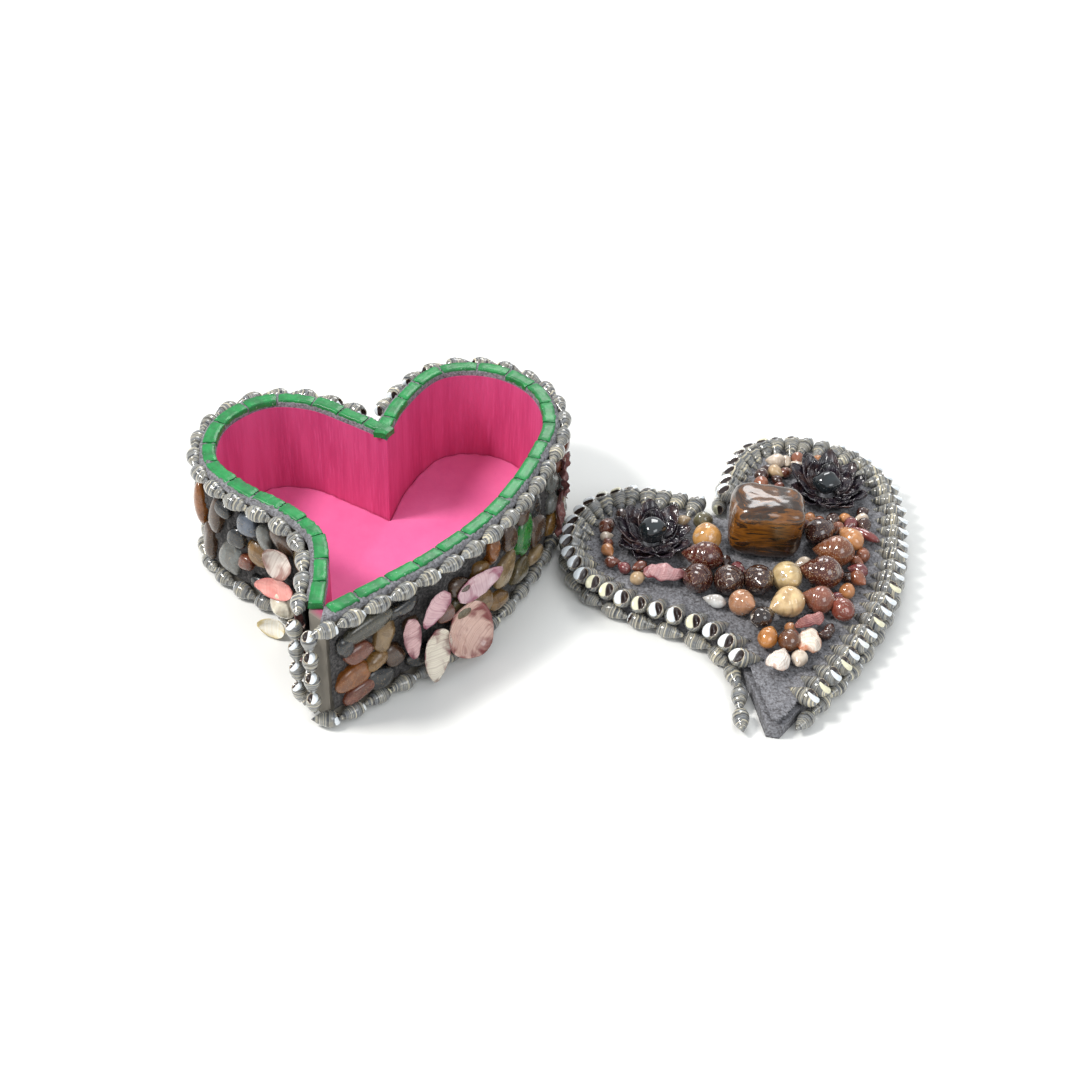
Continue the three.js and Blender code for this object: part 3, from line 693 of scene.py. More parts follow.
def snail(cluster, apex, mouth, up, radius, seed, belly=0.64, face=None, rows=22, columns=24, **values):
    """A spiral shell from its point to its mouth.

    `face` is the way its open end faces, as (side, along, lift): a flat with a white callus on its
    right half and a dark opening on its left.
    """
    apex, mouth = np.asarray(apex, float), np.asarray(mouth, float)
    length = np.linalg.norm(mouth - apex)
    axes = basis(mouth - apex, up)
    u = (((np.arange(rows) + 0.5) / rows) ** 1.1)[:, None]
    v = np.arange(columns)[None] * 2 * math.pi / columns
    u, v = (grid.ravel() for grid in np.broadcast_arrays(u, v))
    swell = np.sin(math.pi * u ** (math.log(0.5) / math.log(belly))) ** 0.6
    turn = np.log(u / 0.5) / math.log(WHORL_SHRINK) - v / (2 * math.pi)
    suture = np.exp(-((((turn + 0.5) % 1.0 - 0.5) / 0.12) ** 2)) * (turn > -0.7)
    reach = radius * swell * (1 - SUTURE_DEPTH * suture)
    points = np.column_stack([np.sin(v) * reach, u * length, np.cos(v) * reach])
    points = np.vstack([points, [0, 0, 0], [0, length, 0]])
    stripe = np.append(u * length + v / (2 * math.pi) * 0.6, [0, length])
    mouth_gap, callus_gap = np.full(len(points), NO_MOUTH), np.full(len(points), NO_MOUTH)
    if face is not None:
        points, mouth_gap, callus_gap = open_face(points, unit(face), length, radius)
    faces = pod_faces(rows, columns)
    world = apex + points @ axes
    cluster.add(world, faces, stripe=stripe, mouth=mouth_gap, callus=callus_gap, seed=seed, **values)


def open_face(points, facing, length, radius):
    """Cuts the flat of the mouth into a shell and sinks its opening, in the shell's own axes.

    Returns the points, and how far each is outside the opening and outside the callus.
    """
    across = unit(np.cross(facing, [0.0, 0.0, 1.0]) if abs(facing[2]) < 0.95 else [1.0, 0.0, 0.0])
    across = across * np.sign(across[0] + 1e-9)
    down = np.cross(across, facing)
    centre = np.array([0.0, MOUTH_ALONG * length, 0.0]) + facing * radius * MOUTH_LIFT
    depth = (points - centre) @ facing
    flat = points - centre - np.maximum(depth, 0)[:, None] * facing * 0.8
    a = flat @ down / (radius * MOUTH_HALF_HIGH)
    b = flat @ across / (radius * MOUTH_HALF_WIDE)
    ring = np.hypot(a, b)
    middle = -0.08 + 0.2 * np.sin(a * 2.4 + 0.5)
    behind = np.maximum(-depth - 0.15, 0) * 3
    mouth_gap = np.maximum(ring - OPENING_EDGE, b - middle) * radius + behind
    callus_gap = np.maximum(ring - LIP_EDGE, middle - b) * radius + behind
    sunk = np.clip(-mouth_gap / (0.4 * radius), 0, 1)
    raised = np.clip(-callus_gap / (0.3 * radius), 0, 1) * CALLUS_RISE * radius
    points = centre + flat - facing * (sunk * OPENING_SINK * radius)[:, None] + facing * raised[:, None]
    return points, np.clip(mouth_gap, -3, 3), np.clip(callus_gap, -3, 3)


def edge_row(cluster, line, height, seed):
    """Banded shells nose to tail along a line, points towards the tip of the heart."""
    rng = np.random.default_rng(seed)
    count = round(line.length / SHELL_PITCH)
    pitch = line.length / count
    for i in range(count):
        size = rng.uniform(0.94, 1.04)
        start, end = i * pitch - 1.2, i * pitch + pitch + 0.4
        a, b = line.at(max(start, 0)), line.at(min(end, line.length))
        lean = rng.uniform(-0.3, 0.3)
        apex = np.array([*a, height + lean])
        mouth = np.array([*b, height - lean * 0.5 - 0.2])
        roll = rng.uniform(-1.2, 1.2)
        face = (math.sin(roll) * 0.6, 1.0, math.cos(roll) * 0.35)
        snail(cluster, apex, mouth, UP, SHELL_RADIUS * size, rng.random(), belly=0.62, face=face)


def column(cluster, place, seed):
    """Shells standing on their points at the blunt corner, mouths up."""
    rng = np.random.default_rng(seed)
    step = (WALL_HIGH - WALL_LOW + 3) / COLUMN_COUNT
    out = unit(np.array([*place, 0.0]) - np.array([*TIP, 0.0]))
    for i in range(COLUMN_COUNT):
        low = WALL_LOW - 1.5 + i * step
        sway = rng.uniform(-0.3, 0.3, 2)
        apex = np.array([place[0] + sway[0], place[1] + sway[1], low])
        mouth = np.array([place[0] - sway[0], place[1] - sway[1], low + step + 0.8])
        radius = COLUMN_RADIUS * rng.uniform(0.94, 1.05)
        snail(cluster, apex, mouth, out, radius, rng.random(), face=(0.1, 1.0, 0.6))


def crown(cluster, side, start, skew, seed):
    """Banded shells side by side round the lid, mouths out and up."""
    rng = np.random.default_rng(seed)
    line = offset_line(side, CROWN_OFFSET, extend=4.0, clear=CROWN_RADIUS + 1)
    for i in range(int((line.length - start) / CROWN_PITCH) + 1):
        s = start + i * CROWN_PITCH
        heading = line.heading(s)
        inward = np.array([-heading[1], heading[0]]) * side.hand - heading * skew
        inward = unit(inward + heading * rng.normal(0, 0.05))
        mouth = np.array([*line.at(s), CROWN_HEIGHT + rng.uniform(-0.2, 0.5)])
        point = line.at(s) + inward * CROWN_LENGTH * rng.uniform(0.96, 1.04)
        apex = np.array([*point, CROWN_HEIGHT - CROWN_DROP])
        mouth = mouth - np.array([*inward, 0.0]) * rng.uniform(-0.4, 0.6)
        radius = CROWN_RADIUS * rng.uniform(1.05, 1.18)
        face = (-0.32 + rng.uniform(-0.12, 0.12), 0.62, 0.72)
        snail(cluster, apex, mouth, UP, radius, rng.random(), belly=0.66, face=face, rows=32, columns=34)


# ------------------------------------------------------------------ pebbles and stones
PEBBLE_LUMP = 0.1


def pebble(cluster, centre, out, tilt, half, seed, rows=14, columns=22, edge=0.82, **values):
    """A rounded stone. `half` is half its length, height and depth; `out` is the way it faces."""
    out = unit(out)
    level = unit(np.cross(UP, out))
    rise = np.cross(out, level)
    c, s = math.cos(tilt), math.sin(tilt)
    axes = np.array([level * c + rise * s, rise * c - level * s, out])
    ball = ball_points(rows, columns, edge)
    ball *= (1 + PEBBLE_LUMP * ripple(ball, 2.6, seed))[:, None]
    points = np.asarray(centre) + (ball * half) @ axes
    faces = pod_faces(rows, columns)
    cluster.add(points, [block[:, ::-1] for block in faces], seed=(seed * 0.377) % 1.0, **values)


STONE = {
    "black": (22, 26, 30), "slate": (66, 66, 56), "red": (112, 58, 38), "tan": (128, 104, 68),
    "amber": (136, 80, 28), "ochre": (122, 90, 42), "umber": (70, 48, 32), "olive": (96, 86, 58),
    "sand": (142, 120, 84), "green": (24, 120, 44), "grey": (104, 108, 106), "blue": (82, 92, 106),
}

STONE_HALF_DEEP = 3.1
# [along, height, half length, half height, tilt in degrees, colour]
RIGHT_STONES = [
    (2.5, 37, 3.8, 5, 0, "black"), (12, 41, 11.5, 4.6, 12, "slate"), (8, 31, 6.6, 4.2, 10, "red"),
    (20, 32, 5, 7.4, -25, "tan"), (5, 20.5, 8.4, 5.4, -8, "amber"), (7.5, 11.5, 7.6, 3.4, 8, "red"),
    (16, 22.5, 5, 3.8, 8, "ochre"), (24, 21, 5, 5.4, 20, "umber"), (17.5, 12.5, 6.4, 5, 0, "black"),
    (28, 42, 7, 3.6, 10, "black"), (56, 36, 5, 4.6, 0, "umber"), (58, 25, 6, 6, 0, "olive"),
    (67, 33, 4.6, 8, -12, "ochre"), (68, 18, 6.4, 6, 20, "ochre"), (62, 11.5, 5, 3.4, 0, "black"),
    (75, 41, 3.6, 5.6, -15, "amber"), (83.5, 25.5, 6.2, 8.4, -25, "sand"), (85.5, 41, 4.8, 6, -15, "umber"),
    (97.5, 32, 5, 9.4, -15, "green"), (97, 43, 4, 4, 0, "umber"), (106.5, 41, 4.6, 5.6, 0, "black"),
    (95.5, 15, 6.4, 5.4, 0, "olive"), (79, 12, 6, 3.8, 0, "ochre"), (111, 25, 6.4, 7.6, 0, "umber"),
    (109, 12.5, 6.4, 4.4, 0, "sand"), (37, 12.5, 7, 4.4, 0, "black"), (33, 30, 4, 5, 0, "umber"),
]
LEFT_STONES = [
    (60, 41.5, 6.2, 5.4, 0, "umber"), (71.5, 38, 3.8, 6.4, 0, "grey"), (80, 41, 5.6, 5.4, 0, "blue"),
    (75.5, 27.5, 6.2, 5.4, 10, "ochre"), (86, 31.5, 4.6, 5, 0, "black"), (82.5, 20.5, 4, 3.4, 0, "red"),
    (90.5, 17.5, 6.4, 8.2, 10, "grey"), (96.5, 37, 3.6, 9.8, 12, "umber"), (103.5, 18, 3.6, 9.6, 5, "umber"),
    (75, 12, 6.6, 4.4, 0, "black"), (108, 34, 4.2, 10.4, 8, "amber"), (92, 43, 5, 4, 0, "black"),
    (20, 38, 6.4, 5.4, 0, "umber"), (33, 38, 5.4, 5.4, 0, "black"), (46, 39, 5.4, 5.4, 0, "olive"),
    (33, 14, 6.4, 5, 0, "ochre"), (17, 14, 5.4, 4.8, 0, "umber"), (26, 25, 6, 5.6, 0, "red"),
]


def back_stones(start, end, seed):
    """Three rows of mixed pebbles for the stretch of wall that faces away."""
    rng = np.random.default_rng(seed)
    shades = ["umber", "black", "ochre", "tan", "olive", "red", "slate", "amber", "grey", "sand"]
    stones = []
    rows = 3
    rise = (WALL_HIGH - WALL_LOW) / rows
    for row in range(rows):
        along = start + rng.uniform(3, 7)
        while along < end - 5:
            half = rng.uniform(4.2, 7.6)
            height = WALL_LOW + rise * (row + 0.5) + rng.uniform(-0.8, 0.8)
            tilt = rng.uniform(-14, 14)
            half_height = rise * rng.uniform(0.42, 0.5)
            stones.append((along + half, height, half, half_height, tilt, rng.choice(shades)))
            along += 2 * half + 0.8
    return stones


def wall_mosaic(name, side, stones, node):
    """The grout on one side's wall and the pebbles pressed into it."""
    grout = Cluster(f"{name}_grout", "box")
    s = np.arange(-4.0 if side is RIGHT else 0.5, side.length - 6, 0.9)
    z = np.linspace(WALL_LOW - 0.6, WALL_HIGH + 0.6, 34)
    flat_s, flat_z = np.meshgrid(s, z, indexing="ij")
    points = side.wall(np.clip(flat_s, 0, None), flat_z, np.full(flat_s.shape, GROUT_FACE - 0.4))
    points[..., :2] += np.minimum(flat_s, 0)[..., None] * side.path.heading(0.0)
    relief = ripple(points, 5.0, 3) * 0.25 + ripple(points, 1.9, 4) * 0.16
    points[..., :2] += side.out(np.clip(flat_s, 0, None)) * relief[..., None]
    other = LEFT if side is RIGHT else RIGHT
    points = points[clearance(other, points[:, 0, :2]) > GROUT_FACE - 0.6]
    faces = lattice(len(points), len(z))
    grout.add(points, faces if side is LEFT else faces[:, ::-1])
    # The wall's grout takes the near-black copy: dark glue with painted shade between the pebbles.
    grout.build(SHADED_WALL_GROUT)
    pebbles = Cluster(f"{name}_pebbles", "box")
    for i, (along, height, half_length, half_height, tilt, shade) in enumerate(stones):
        out = np.array([*side.out(along), 0.0])
        centre = side.spot(along, height, GROUT_FACE + 0.2)
        half = (half_length, half_height, STONE_HALF_DEEP)
        turn = math.radians(tilt) * (1 if side is RIGHT else -1)
        pebble(pebbles, centre, out, turn, half, i + 7, tint=srgb(*STONE[shade]))
    pebbles.build(PEBBLE, [node])


# ------------------------------------------------------------------ box
def build_body():
    """Walls and base, pink inside and plastered outside, open at the top."""
    body = Cluster("heart_box", "box")
    inner, outer = heart_loop(0.02, clear=-0.1), heart_loop(WALL, corner=BOX_CORNER)
    count = len(inner)
    floor_z = FLOOR_TOP - 0.8
    rings = [(outer, 0.0), (outer, WALL_TOP), (inner, WALL_TOP), (inner, floor_z)]
    points = np.vstack([np.column_stack([loop, np.full(count, z)]) for loop, z in rings])
    outside = np.repeat([1.0, 1.0, 0.0, 0.0], count)
    body.add(points, lattice(len(rings), count, True), outside=outside)
    piece = body.build(PINK_WALL, ["box_body"])
    cap(piece, range(count)[::-1], range(3 * count, 4 * count))
    piece.data.set_sharp_from_angle(angle=math.radians(40))


def build_floor():
    """The paper on the floor, its edge turned down and a little wavy."""
    lining = Cluster("floor_paper", "box")
    rings = []
    # [how far in from the edge, height on the floor's top, waviness]
    for inset, rise, wave in ((0.0, -0.8, 0.0), (0.25, 0.0, 0.12), (0.9, 0.0, 0.12), (1.6, 0.0, 0.0)):
        ring = heart_loop(-0.3 - inset, clear=-0.05)
        count = len(ring)
        lift = wave * ripple(np.column_stack([ring, np.zeros(count)]), 6.0, 5)
        rings.append(np.column_stack([ring, np.full(count, FLOOR_TOP + rise) + lift]))
    lining.add(np.vstack(rings), lattice(len(rings), count, True))
    piece = lining.build(PINK_FLOOR, ["floor_lining"])
    start = (len(rings) - 1) * count
    cap(piece, range(start, start + count))


def build_tiles():
    """The ring of green tiles on the rim, a little uneven and worn at their edges."""
    tiles = Cluster("rim_tile_pieces", "box")
    rng = np.random.default_rng(11)
    for side in (RIGHT, LEFT):
        count = round(side.length / TILE_PITCH)
        cuts = np.linspace(0, side.length, count + 1)
        cuts[1:-1] += rng.uniform(-1.2, 1.2, count - 1)
        for low, high in zip(cuts[:-1], cuts[1:]):
            s = np.linspace(low + TILE_JOINT, high - TILE_JOINT, 12)
            inner = TILE_INNER + rng.uniform(-0.1, 0.35)
            outer = TILE_OUTER + rng.uniform(-0.5, 0.15)
            top = TILE_TOP - 0.15 + rng.uniform(-0.12, 0.12)
            section = [(inner, TILE_FOOT), (inner, top - TILE_BEVEL), (inner + TILE_BEVEL, top)]
            section += [(inner + (outer - inner) * k, top) for k in (0.3, 0.5, 0.7)]
            section += [(outer - TILE_BEVEL, top), (outer, top - TILE_BEVEL), (outer, TILE_FOOT)]
            section = np.array(section)
            grid_s, out = np.meshgrid(s, section[:, 0], indexing="ij")
            height = np.broadcast_to(section[:, 1], grid_s.shape).copy()
            height[[0, -1]] -= TILE_BEVEL
            height[:, [0, -1]] = TILE_FOOT
            points = side.wall(grid_s, height, out)
            points += 0.09 * ripple(points, 3.2, 21)[..., None] * np.array([1, 1, 0.5])
            worn = np.full(grid_s.shape, 0.15)
            worn[[0, -1]] = 1.0
            worn[:, [0, 1, 2, -3, -2, -1]] = 1.0
            if side is RIGHT and low < 95:
                worn[:] = np.maximum(worn, 0.75 - low / 180)
            drop = points[[0, -1]].copy()
            drop[..., 2] = BED_TOP - 1.2
            points = np.concatenate([drop[:1], points, drop[1:]])
            worn = np.concatenate([worn[:1], worn, worn[-1:]])
            faces = lattice(*worn.shape)
            tiles.add(points, faces if side is LEFT else faces[:, ::-1], worn=worn.ravel())
    piece = tiles.build(TILE, ["rim_tiles"])
    piece.data.set_sharp_from_angle(angle=math.radians(50))


def build_rim_grout():
    """The rough bed that the tiles lie in, and the band of it outside them."""
    bed = Cluster("rim_grout", "box")
    for side in (RIGHT, LEFT):
        inner = Path(side.samples + side.outward * 0.15)
        outer = offset_line(side, WALL + 1.9, corner=RIM_CORNER if side is RIGHT else None, clear=0.1)
        count = int(side.length / 0.6)
        a, b = inner.even(count), outer.even(count)
        across = np.array([0.0, 0.02, 0.12, 0.3, 0.55, 0.66, 0.75, 0.84, 0.92, 1.0])
        height = BED_TOP + np.array([-2.0, 0.5, 0.9, 0.9, 1.1, 1.2, 1.2, 0.9, 0.3, -1.2])
        flat = a[:, None] + (b - a)[:, None] * across[None, :, None]
        points = np.concatenate([flat, np.broadcast_to(height, flat.shape[:2])[..., None]], -1)
        rough = 0.22 * ripple(points, 2.4, 31) + 0.16 * ripple(points, 1.2, 32)
        points[..., 2] += rough * np.clip(across * 3, 0.2, 1)
        faces = lattice(*points.shape[:2])
        bed.add(points, faces if side is LEFT else faces[:, ::-1])
    bed.build(GROUT)


def build_edges():
    """Every row, column and crown of banded shells."""
    for i, (node, (lead, skip)) in enumerate(ROW_STARTS.items()):
        side = RIGHT if node.endswith("right") else LEFT
        cluster = Cluster(f"{node}_dressed", "lid" if node.startswith("lid") else "box")
        line = offset_line(side, EDGE_OFFSET, clear=SHELL_RADIUS, lead=lead, skip=skip)
        edge_row(cluster, line, RIM_LINE if node.startswith("rim") else BASE_LINE, 40 + i)
        cluster.build(BANDED, [node])
    for node, place in CORNER_PLACES.items():
        cluster = Cluster(f"{node}_dressed", "box")
        column(cluster, place, len(node))
        cluster.build(BANDED, [node])
    for node, side, start, skew in (("right", RIGHT, 2, -0.2), ("left", LEFT, 20, 0.2)):
        cluster = Cluster(f"lid_crown_{node}", "lid")
        crown(cluster, side, start, skew, len(node))
        cluster.build(BANDED, [f"lid_crown_shells_{node}"])


# ------------------------------------------------------------------ open valves and petals
VALVE_ROWS = 18


def valve(cluster, hinge, end, face, width, cup, seed, ribs=0, columns=21, crinkle=0.25, **values):
    """A cupped valve or petal from its hinge to its far end, its hollow side towards `face`."""
    hinge, end = np.asarray(hinge, float), np.asarray(end, float)
    length = np.linalg.norm(end - hinge)
    side, along, lift = basis(end - hinge, face)
    t = np.linspace(0.02, 1, VALVE_ROWS)[:, None]
    w = np.linspace(-1, 1, columns)[None]
    t, w = np.broadcast_arrays(t, w)
    span = width * np.sin(math.pi * t ** 0.75 * 0.97 + 0.04) ** 0.6
    hollow = cup * (1 - w ** 2) * np.sin(math.pi * np.clip(t, 0, 1)) ** 0.5
    plan = np.stack([w * span, t * length, -hollow], -1)
    if ribs:
        rib = 0.5 + 0.5 * np.cos(w * math.pi * ribs)
    else:
        rib = ripple(plan * [1, 0.25, 0], 2.4, seed) * 0.5 + 0.5
    plan[..., 2] += (rib - 0.5) * crinkle * (0.3 + 0.7 * t)
    plan[..., 2] += crinkle * 0.8 * ripple(plan * [1, 1, 0], 5.0, seed + 1)
    inner = hinge + plan @ np.array([side, along, lift])
    plan_back = plan.copy()
    plan_back[..., 2] -= 0.9 - 0.5 * np.abs(w)
    outer = hinge + plan_back @ np.array([side, along, lift])
    count = VALVE_ROWS * columns
    top = lattice(VALVE_ROWS, columns)
    back = top[:, ::-1] + count
    grid = np.arange(count).reshape(VALVE_ROWS, columns)
    border = np.concatenate([grid[0, :-1], grid[:-1, -1], grid[-1, :0:-1], grid[:0:-1, 0]])
    after = np.roll(border, -1)
    wall = np.stack([border, border + count, after + count, after], -1)
    rim = np.maximum(np.abs(w), 2 * np.abs(t - 0.5)) ** 3
    both = {
        "rib": np.tile(rib.ravel(), 2), "edge": np.tile(rim.ravel(), 2), "rim": np.tile(rim.ravel(), 2),
        "growth": np.tile((t * length + w ** 2 * 2 + seed).ravel(), 2),
    }
    points = np.vstack([inner.reshape(-1, 3), outer.reshape(-1, 3)])
    cluster.add(points, [top, back, wall], **both, **values)


# node, side, hinge and end as (along, height, distance), width, cup, tint, stain
WALL_VALVES = [
    ("spray_long_petal", RIGHT, (52, 34, 13), (74, 36, 15), 4.2, 1.6, (206, 176, 180), (150, 84, 104)),
    ("spray_upper_petal", RIGHT, (46, 43, 14), (35, 31, 14), 4.0, 1.4, (206, 168, 172), (128, 52, 78)),
    ("spray_lower_petal", RIGHT, (29.5, 38, 13), (30.5, 18, 14), 3.6, 1.4, (200, 160, 160), (108, 42, 58)),
    ("spray_oval_shell", RIGHT, (42, 26, 14), (38, 3, 17), 5.8, 2.0, (222, 214, 196), (112, 50, 54)),
    ("spray_cup_shell", RIGHT, (50, 27, 14), (63, 5, 19), 10.2, 4.5, (214, 180, 166), (120, 46, 44)),
    ("left_open_shell", LEFT, (52, 31, 13), (67, 37, 14.5), 6.2, 3.0, (224, 214, 204), (140, 88, 76)),
    ("left_pink_shell", LEFT, (50, 23, 13), (74, 17.5, 15), 4.0, 1.2, (222, 150, 140), (200, 110, 104)),
    ("left_pointed_shell", LEFT, (50, 5, 18), (66, 4.5, 22), 3.8, 1.4, (230, 226, 214), (206, 186, 130)),
]
# node, side, then hinge and end of each shell
SMALL_VALVES = [
    ("small_shells_left", LEFT, [
        ((8, 45, 11), (10, 29, 13)), ((11, 32, 11), (8, 19, 13)), ((8, 21, 11), (10, 8, 13)),
    ]),
    ("small_shells_right", RIGHT, [((138, 46, 12), (133, 26, 14.5)), ((134, 30, 12), (127, 9, 14.5))]),
]


def build_wall_shells():
    """The spray on the right wall, the shells on the left wall and the small purple shells."""
    for i, (node, side, start, finish, width, cup, tint, stain) in enumerate(WALL_VALVES):
        cluster = Cluster(f"{node}_dressed", "box")
        face = np.array([*side.out((start[0] + finish[0]) / 2), 0.25])
        valve(cluster, side.spot(*start), side.spot(*finish), face, width * 1.15, cup * 1.25, 60 + i,
              crinkle=0.16, tint=srgb(*tint), stain=srgb(*stain))
        cluster.build(VALVE, [node])
    moon_snail = Cluster("left_moon_snail_dressed", "box")
    snail(moon_snail, LEFT.spot(58, 12, 18), LEFT.spot(59, 12, 9), UP, 6.4, 0.4, belly=0.6,
          tint=srgb(232, 226, 206), speckle=0.0, fleck=0.0)
    moon_snail.build(SPECKLED, ["left_moon_snail"])
    stone = Cluster("spray_centre_stone_dressed", "box")
    facing = [*RIGHT.out(45.5), 0.0]
    pebble(stone, RIGHT.spot(45.5, 31.0, 12.0), facing, 0.2, (4.4, 4.6, 2.6), 3, tint=srgb(92, 44, 32))
    stone.build(PEBBLE, ["spray_centre_stone"])
    for node, side, pairs in SMALL_VALVES:
        cluster = Cluster(f"{node}_dressed", "box")
        for j, (start, finish) in enumerate(pairs):
            face = np.array([*side.out(start[0]), 0.1])
            valve(cluster, side.spot(*start), side.spot(*finish), face, 3.8, 1.6, 80 + j,
                  crinkle=0.8, tint=srgb(128, 84, 80), stain=srgb(72, 32, 40))
        cluster.build(VALVE, [node])


# ------------------------------------------------------------------ lid
def build_lid_board():
    """The board, with the bare slab at the tip."""
    board = Cluster("lid_board_dressed", "lid")
    loop = heart_loop(WALL, corner=LID_CORNER)
    count = len(loop)
    rings = [np.column_stack([loop, np.full(count, z)]) for z in np.linspace(0, LID_BOARD, 7)]
    points = np.vstack(rings)
    board.add(points, lattice(len(rings), count, True))
    piece = board.build(GROUT, ["lid_board"])
    cap(piece, range(count)[::-1], range((len(rings) - 1) * count, len(rings) * count))


def inside(points, loop):
    """Which points lie inside a closed loop, by counting crossings."""
    x, y = points[:, 0:1], points[:, 1:2]
    x0, y0 = loop[:, 0], loop[:, 1]
    x1, y1 = np.roll(x0, -1), np.roll(y0, -1)
    straddle = (y0 > y) != (y1 > y)
    with np.errstate(divide="ignore", invalid="ignore"):
        cross = x0 + (y - y0) * (x1 - x0) / (y1 - y0) > x
    return (straddle & cross).sum(1) % 2 == 1


def build_lid_grout():
    """Lumpy grout that the shells of the lid sit in."""
    bed = Cluster("lid_grout_dressed", "lid")
    step = 0.9
    xs, ys = np.arange(-75, 80, step), np.arange(-100, 80, step)
    plan = np.stack(np.meshgrid(xs, ys, indexing="ij"), -1)
    flat = plan.reshape(-1, 2)
    loop = heart_loop(WALL - 0.8, corner=LID_CORNER)
    keep = inside(flat, loop).reshape(plan.shape[:2])
    base = np.concatenate([flat, np.zeros((len(flat), 1))], -1)
    height = LID_TOP - 0.7 + 0.35 * ripple(base, 9.0, 51)
    height = height + 0.22 * ripple(base, 3.2, 52) + 0.14 * ripple(base, 1.9, 53)
    points = base + np.column_stack([np.zeros((len(flat), 2)), height])
    quads = lattice(*plan.shape[:2])
    flags = keep.ravel()
    quads = quads[flags[quads].all(1)]
    used = np.unique(quads)
    index = np.full(len(points), -1)
    index[used] = np.arange(len(used))
    bed.add(points[used], index[quads])
    bed.build(GROUT, ["lid_grout"])


LID_SHELLS = [
    # node, x, y, heading, length, radius, tint, speckle, fleck, show the point instead of the back
    ("orange_snail", -13.5, 9, 80, 14, 5.2, (214, 160, 92), 0.1, 0.5, False),
    ("olive_snail", -12, 21.5, 80, 8, 3.6, (110, 108, 84), 0.3, 0.1, False),
    ("dark_cowrie", -18.5, -4, 160, 16, 5.4, (84, 34, 24), 0.7, 0.3, False),
    ("dark_spire_left", -24, -18, 60, 13, 5.2, (72, 34, 26), 0.8, 0.2, True),
    ("dark_spire_middle", -11.5, -21, 70, 13, 5.4, (62, 34, 28), 0.6, 0.6, True),
    ("dark_spire_right", 1, -22.5, 85, 13, 5.4, (58, 32, 26), 0.6, 0.4, True),
    ("spotted_cone", 13.5, -22, 100, 14, 5.4, (214, 190, 140), 0.2, 0.8, True),
    ("mottled_cowrie_front", 27.5, -21, 160, 17, 6, (86, 38, 24), 0.9, 0.4, False),
    ("mottled_cowrie_middle", 37, -8, 165, 16, 5.6, (128, 74, 44), 0.9, 0.3, False),
    ("mottled_cowrie_back", 36, 6, 30, 15, 5, (64, 32, 28), 0.8, 0.3, False),
    ("orange_cone", 47.5, 1.5, 110, 13, 4, (208, 146, 92), 0.1, 0.4, False),
    ("purple_sliver", 55.5, 6, 130, 14, 1.8, (128, 62, 60), 0.1, 0.1, False),
    ("white_bubble", -19, -28.5, 150, 9, 2.4, (220, 222, 220), 0.2, 0.2, False),
    ("brown_snail", -8.5, -34, 120, 11, 4.6, (180, 130, 96), 0.2, 0.7, True),
    ("speckled_snail", -2, -42, 30, 11, 3.8, (50, 40, 38), 0.1, 1.0, False),
    ("cream_whelk", 8.5, -37, 200, 15, 5.4, (230, 200, 150), 0.0, 0.1, False),
    ("red_whelk", 22, -36, 150, 13, 5, (140, 84, 66), 0.4, 0.1, False),
    ("white_flecked_cone", 30.5, -41, 110, 12, 4, (136, 66, 50), 0.1, 0.9, False),
    ("orange_bubble", -3, -53, 60, 11, 3.4, (196, 130, 64), 0.1, 0.2, False),
    ("glossy_snail", 5, -56, 60, 11, 3.8, (104, 60, 30), 0.2, 0.2, False),
]


LID_PLATES = [
    # node, x, y, heading, length, width, ribs, tint, stain
    ("red_limpet", -36, -10.5, 165, 18, 4.6, 14, (186, 140, 140), (116, 40, 50)),
    ("red_shard", 15.5, -47, 20, 14, 3.0, 9, (176, 118, 112), (112, 44, 48)),
    ("ribbed_cockle", 12.5, -57.5, 250, 14, 5.0, 16, (232, 222, 206), (186, 104, 56)),
    ("white_disc", -2.5, -67, 230, 12, 4.6, 10, (232, 224, 214), (190, 132, 100)),
]


def build_lid_shells():
    """The single shells of the lid: rounded ones, then flat ribbed ones."""
    for i, (node, x, y, heading, length, radius, tint, speckle, fleck, point) in enumerate(LID_SHELLS):
        cluster = Cluster(f"lid_{node}_dressed", "lid")
        turn = math.radians(heading)
        ahead = np.array([math.cos(turn), math.sin(turn), 0.0])
        length, radius = length * 1.12, radius * 1.2
        centre = np.array([x, y, LID_TOP + GAP + radius * 0.9])
        lean = np.array([0, 0, 0.5 * radius]) if point else np.array([0, 0, 0.1 * radius])
        apex, mouth = centre + ahead * length / 2, centre - ahead * length / 2
        if point:
            apex, mouth = mouth + lean, apex - lean
        snail(cluster, apex, mouth, UP, radius, i * 0.13 % 1, belly=0.6, rows=26, columns=30,
              tint=srgb(*tint), speckle=speckle, fleck=fleck)
        cluster.build(SPECKLED, [f"lid_{node}"])
    for i, (node, x, y, heading, length, width, ribs, tint, stain) in enumerate(LID_PLATES):
        cluster = Cluster(f"lid_{node}_dressed", "lid")
        turn = math.radians(heading)
        ahead = np.array([math.cos(turn), math.sin(turn), 0.0]) * length / 2
        centre = np.array([x, y, LID_TOP + GAP + 3.6])
        valve(cluster, centre + ahead, centre - ahead, -UP, width, 2.6, 90 + i, ribs=ribs, crinkle=0.5,
              columns=61, tint=srgb(*tint), stain=srgb(*stain))
        cluster.build(VALVE, [f"lid_{node}"])


FILL_TRIES = 7000
FILL_TINTS = [
    (110, 56, 38), (206, 178, 140), (148, 88, 60), (66, 38, 32), (196, 134, 84),
    (124, 62, 66), (222, 208, 190),
]


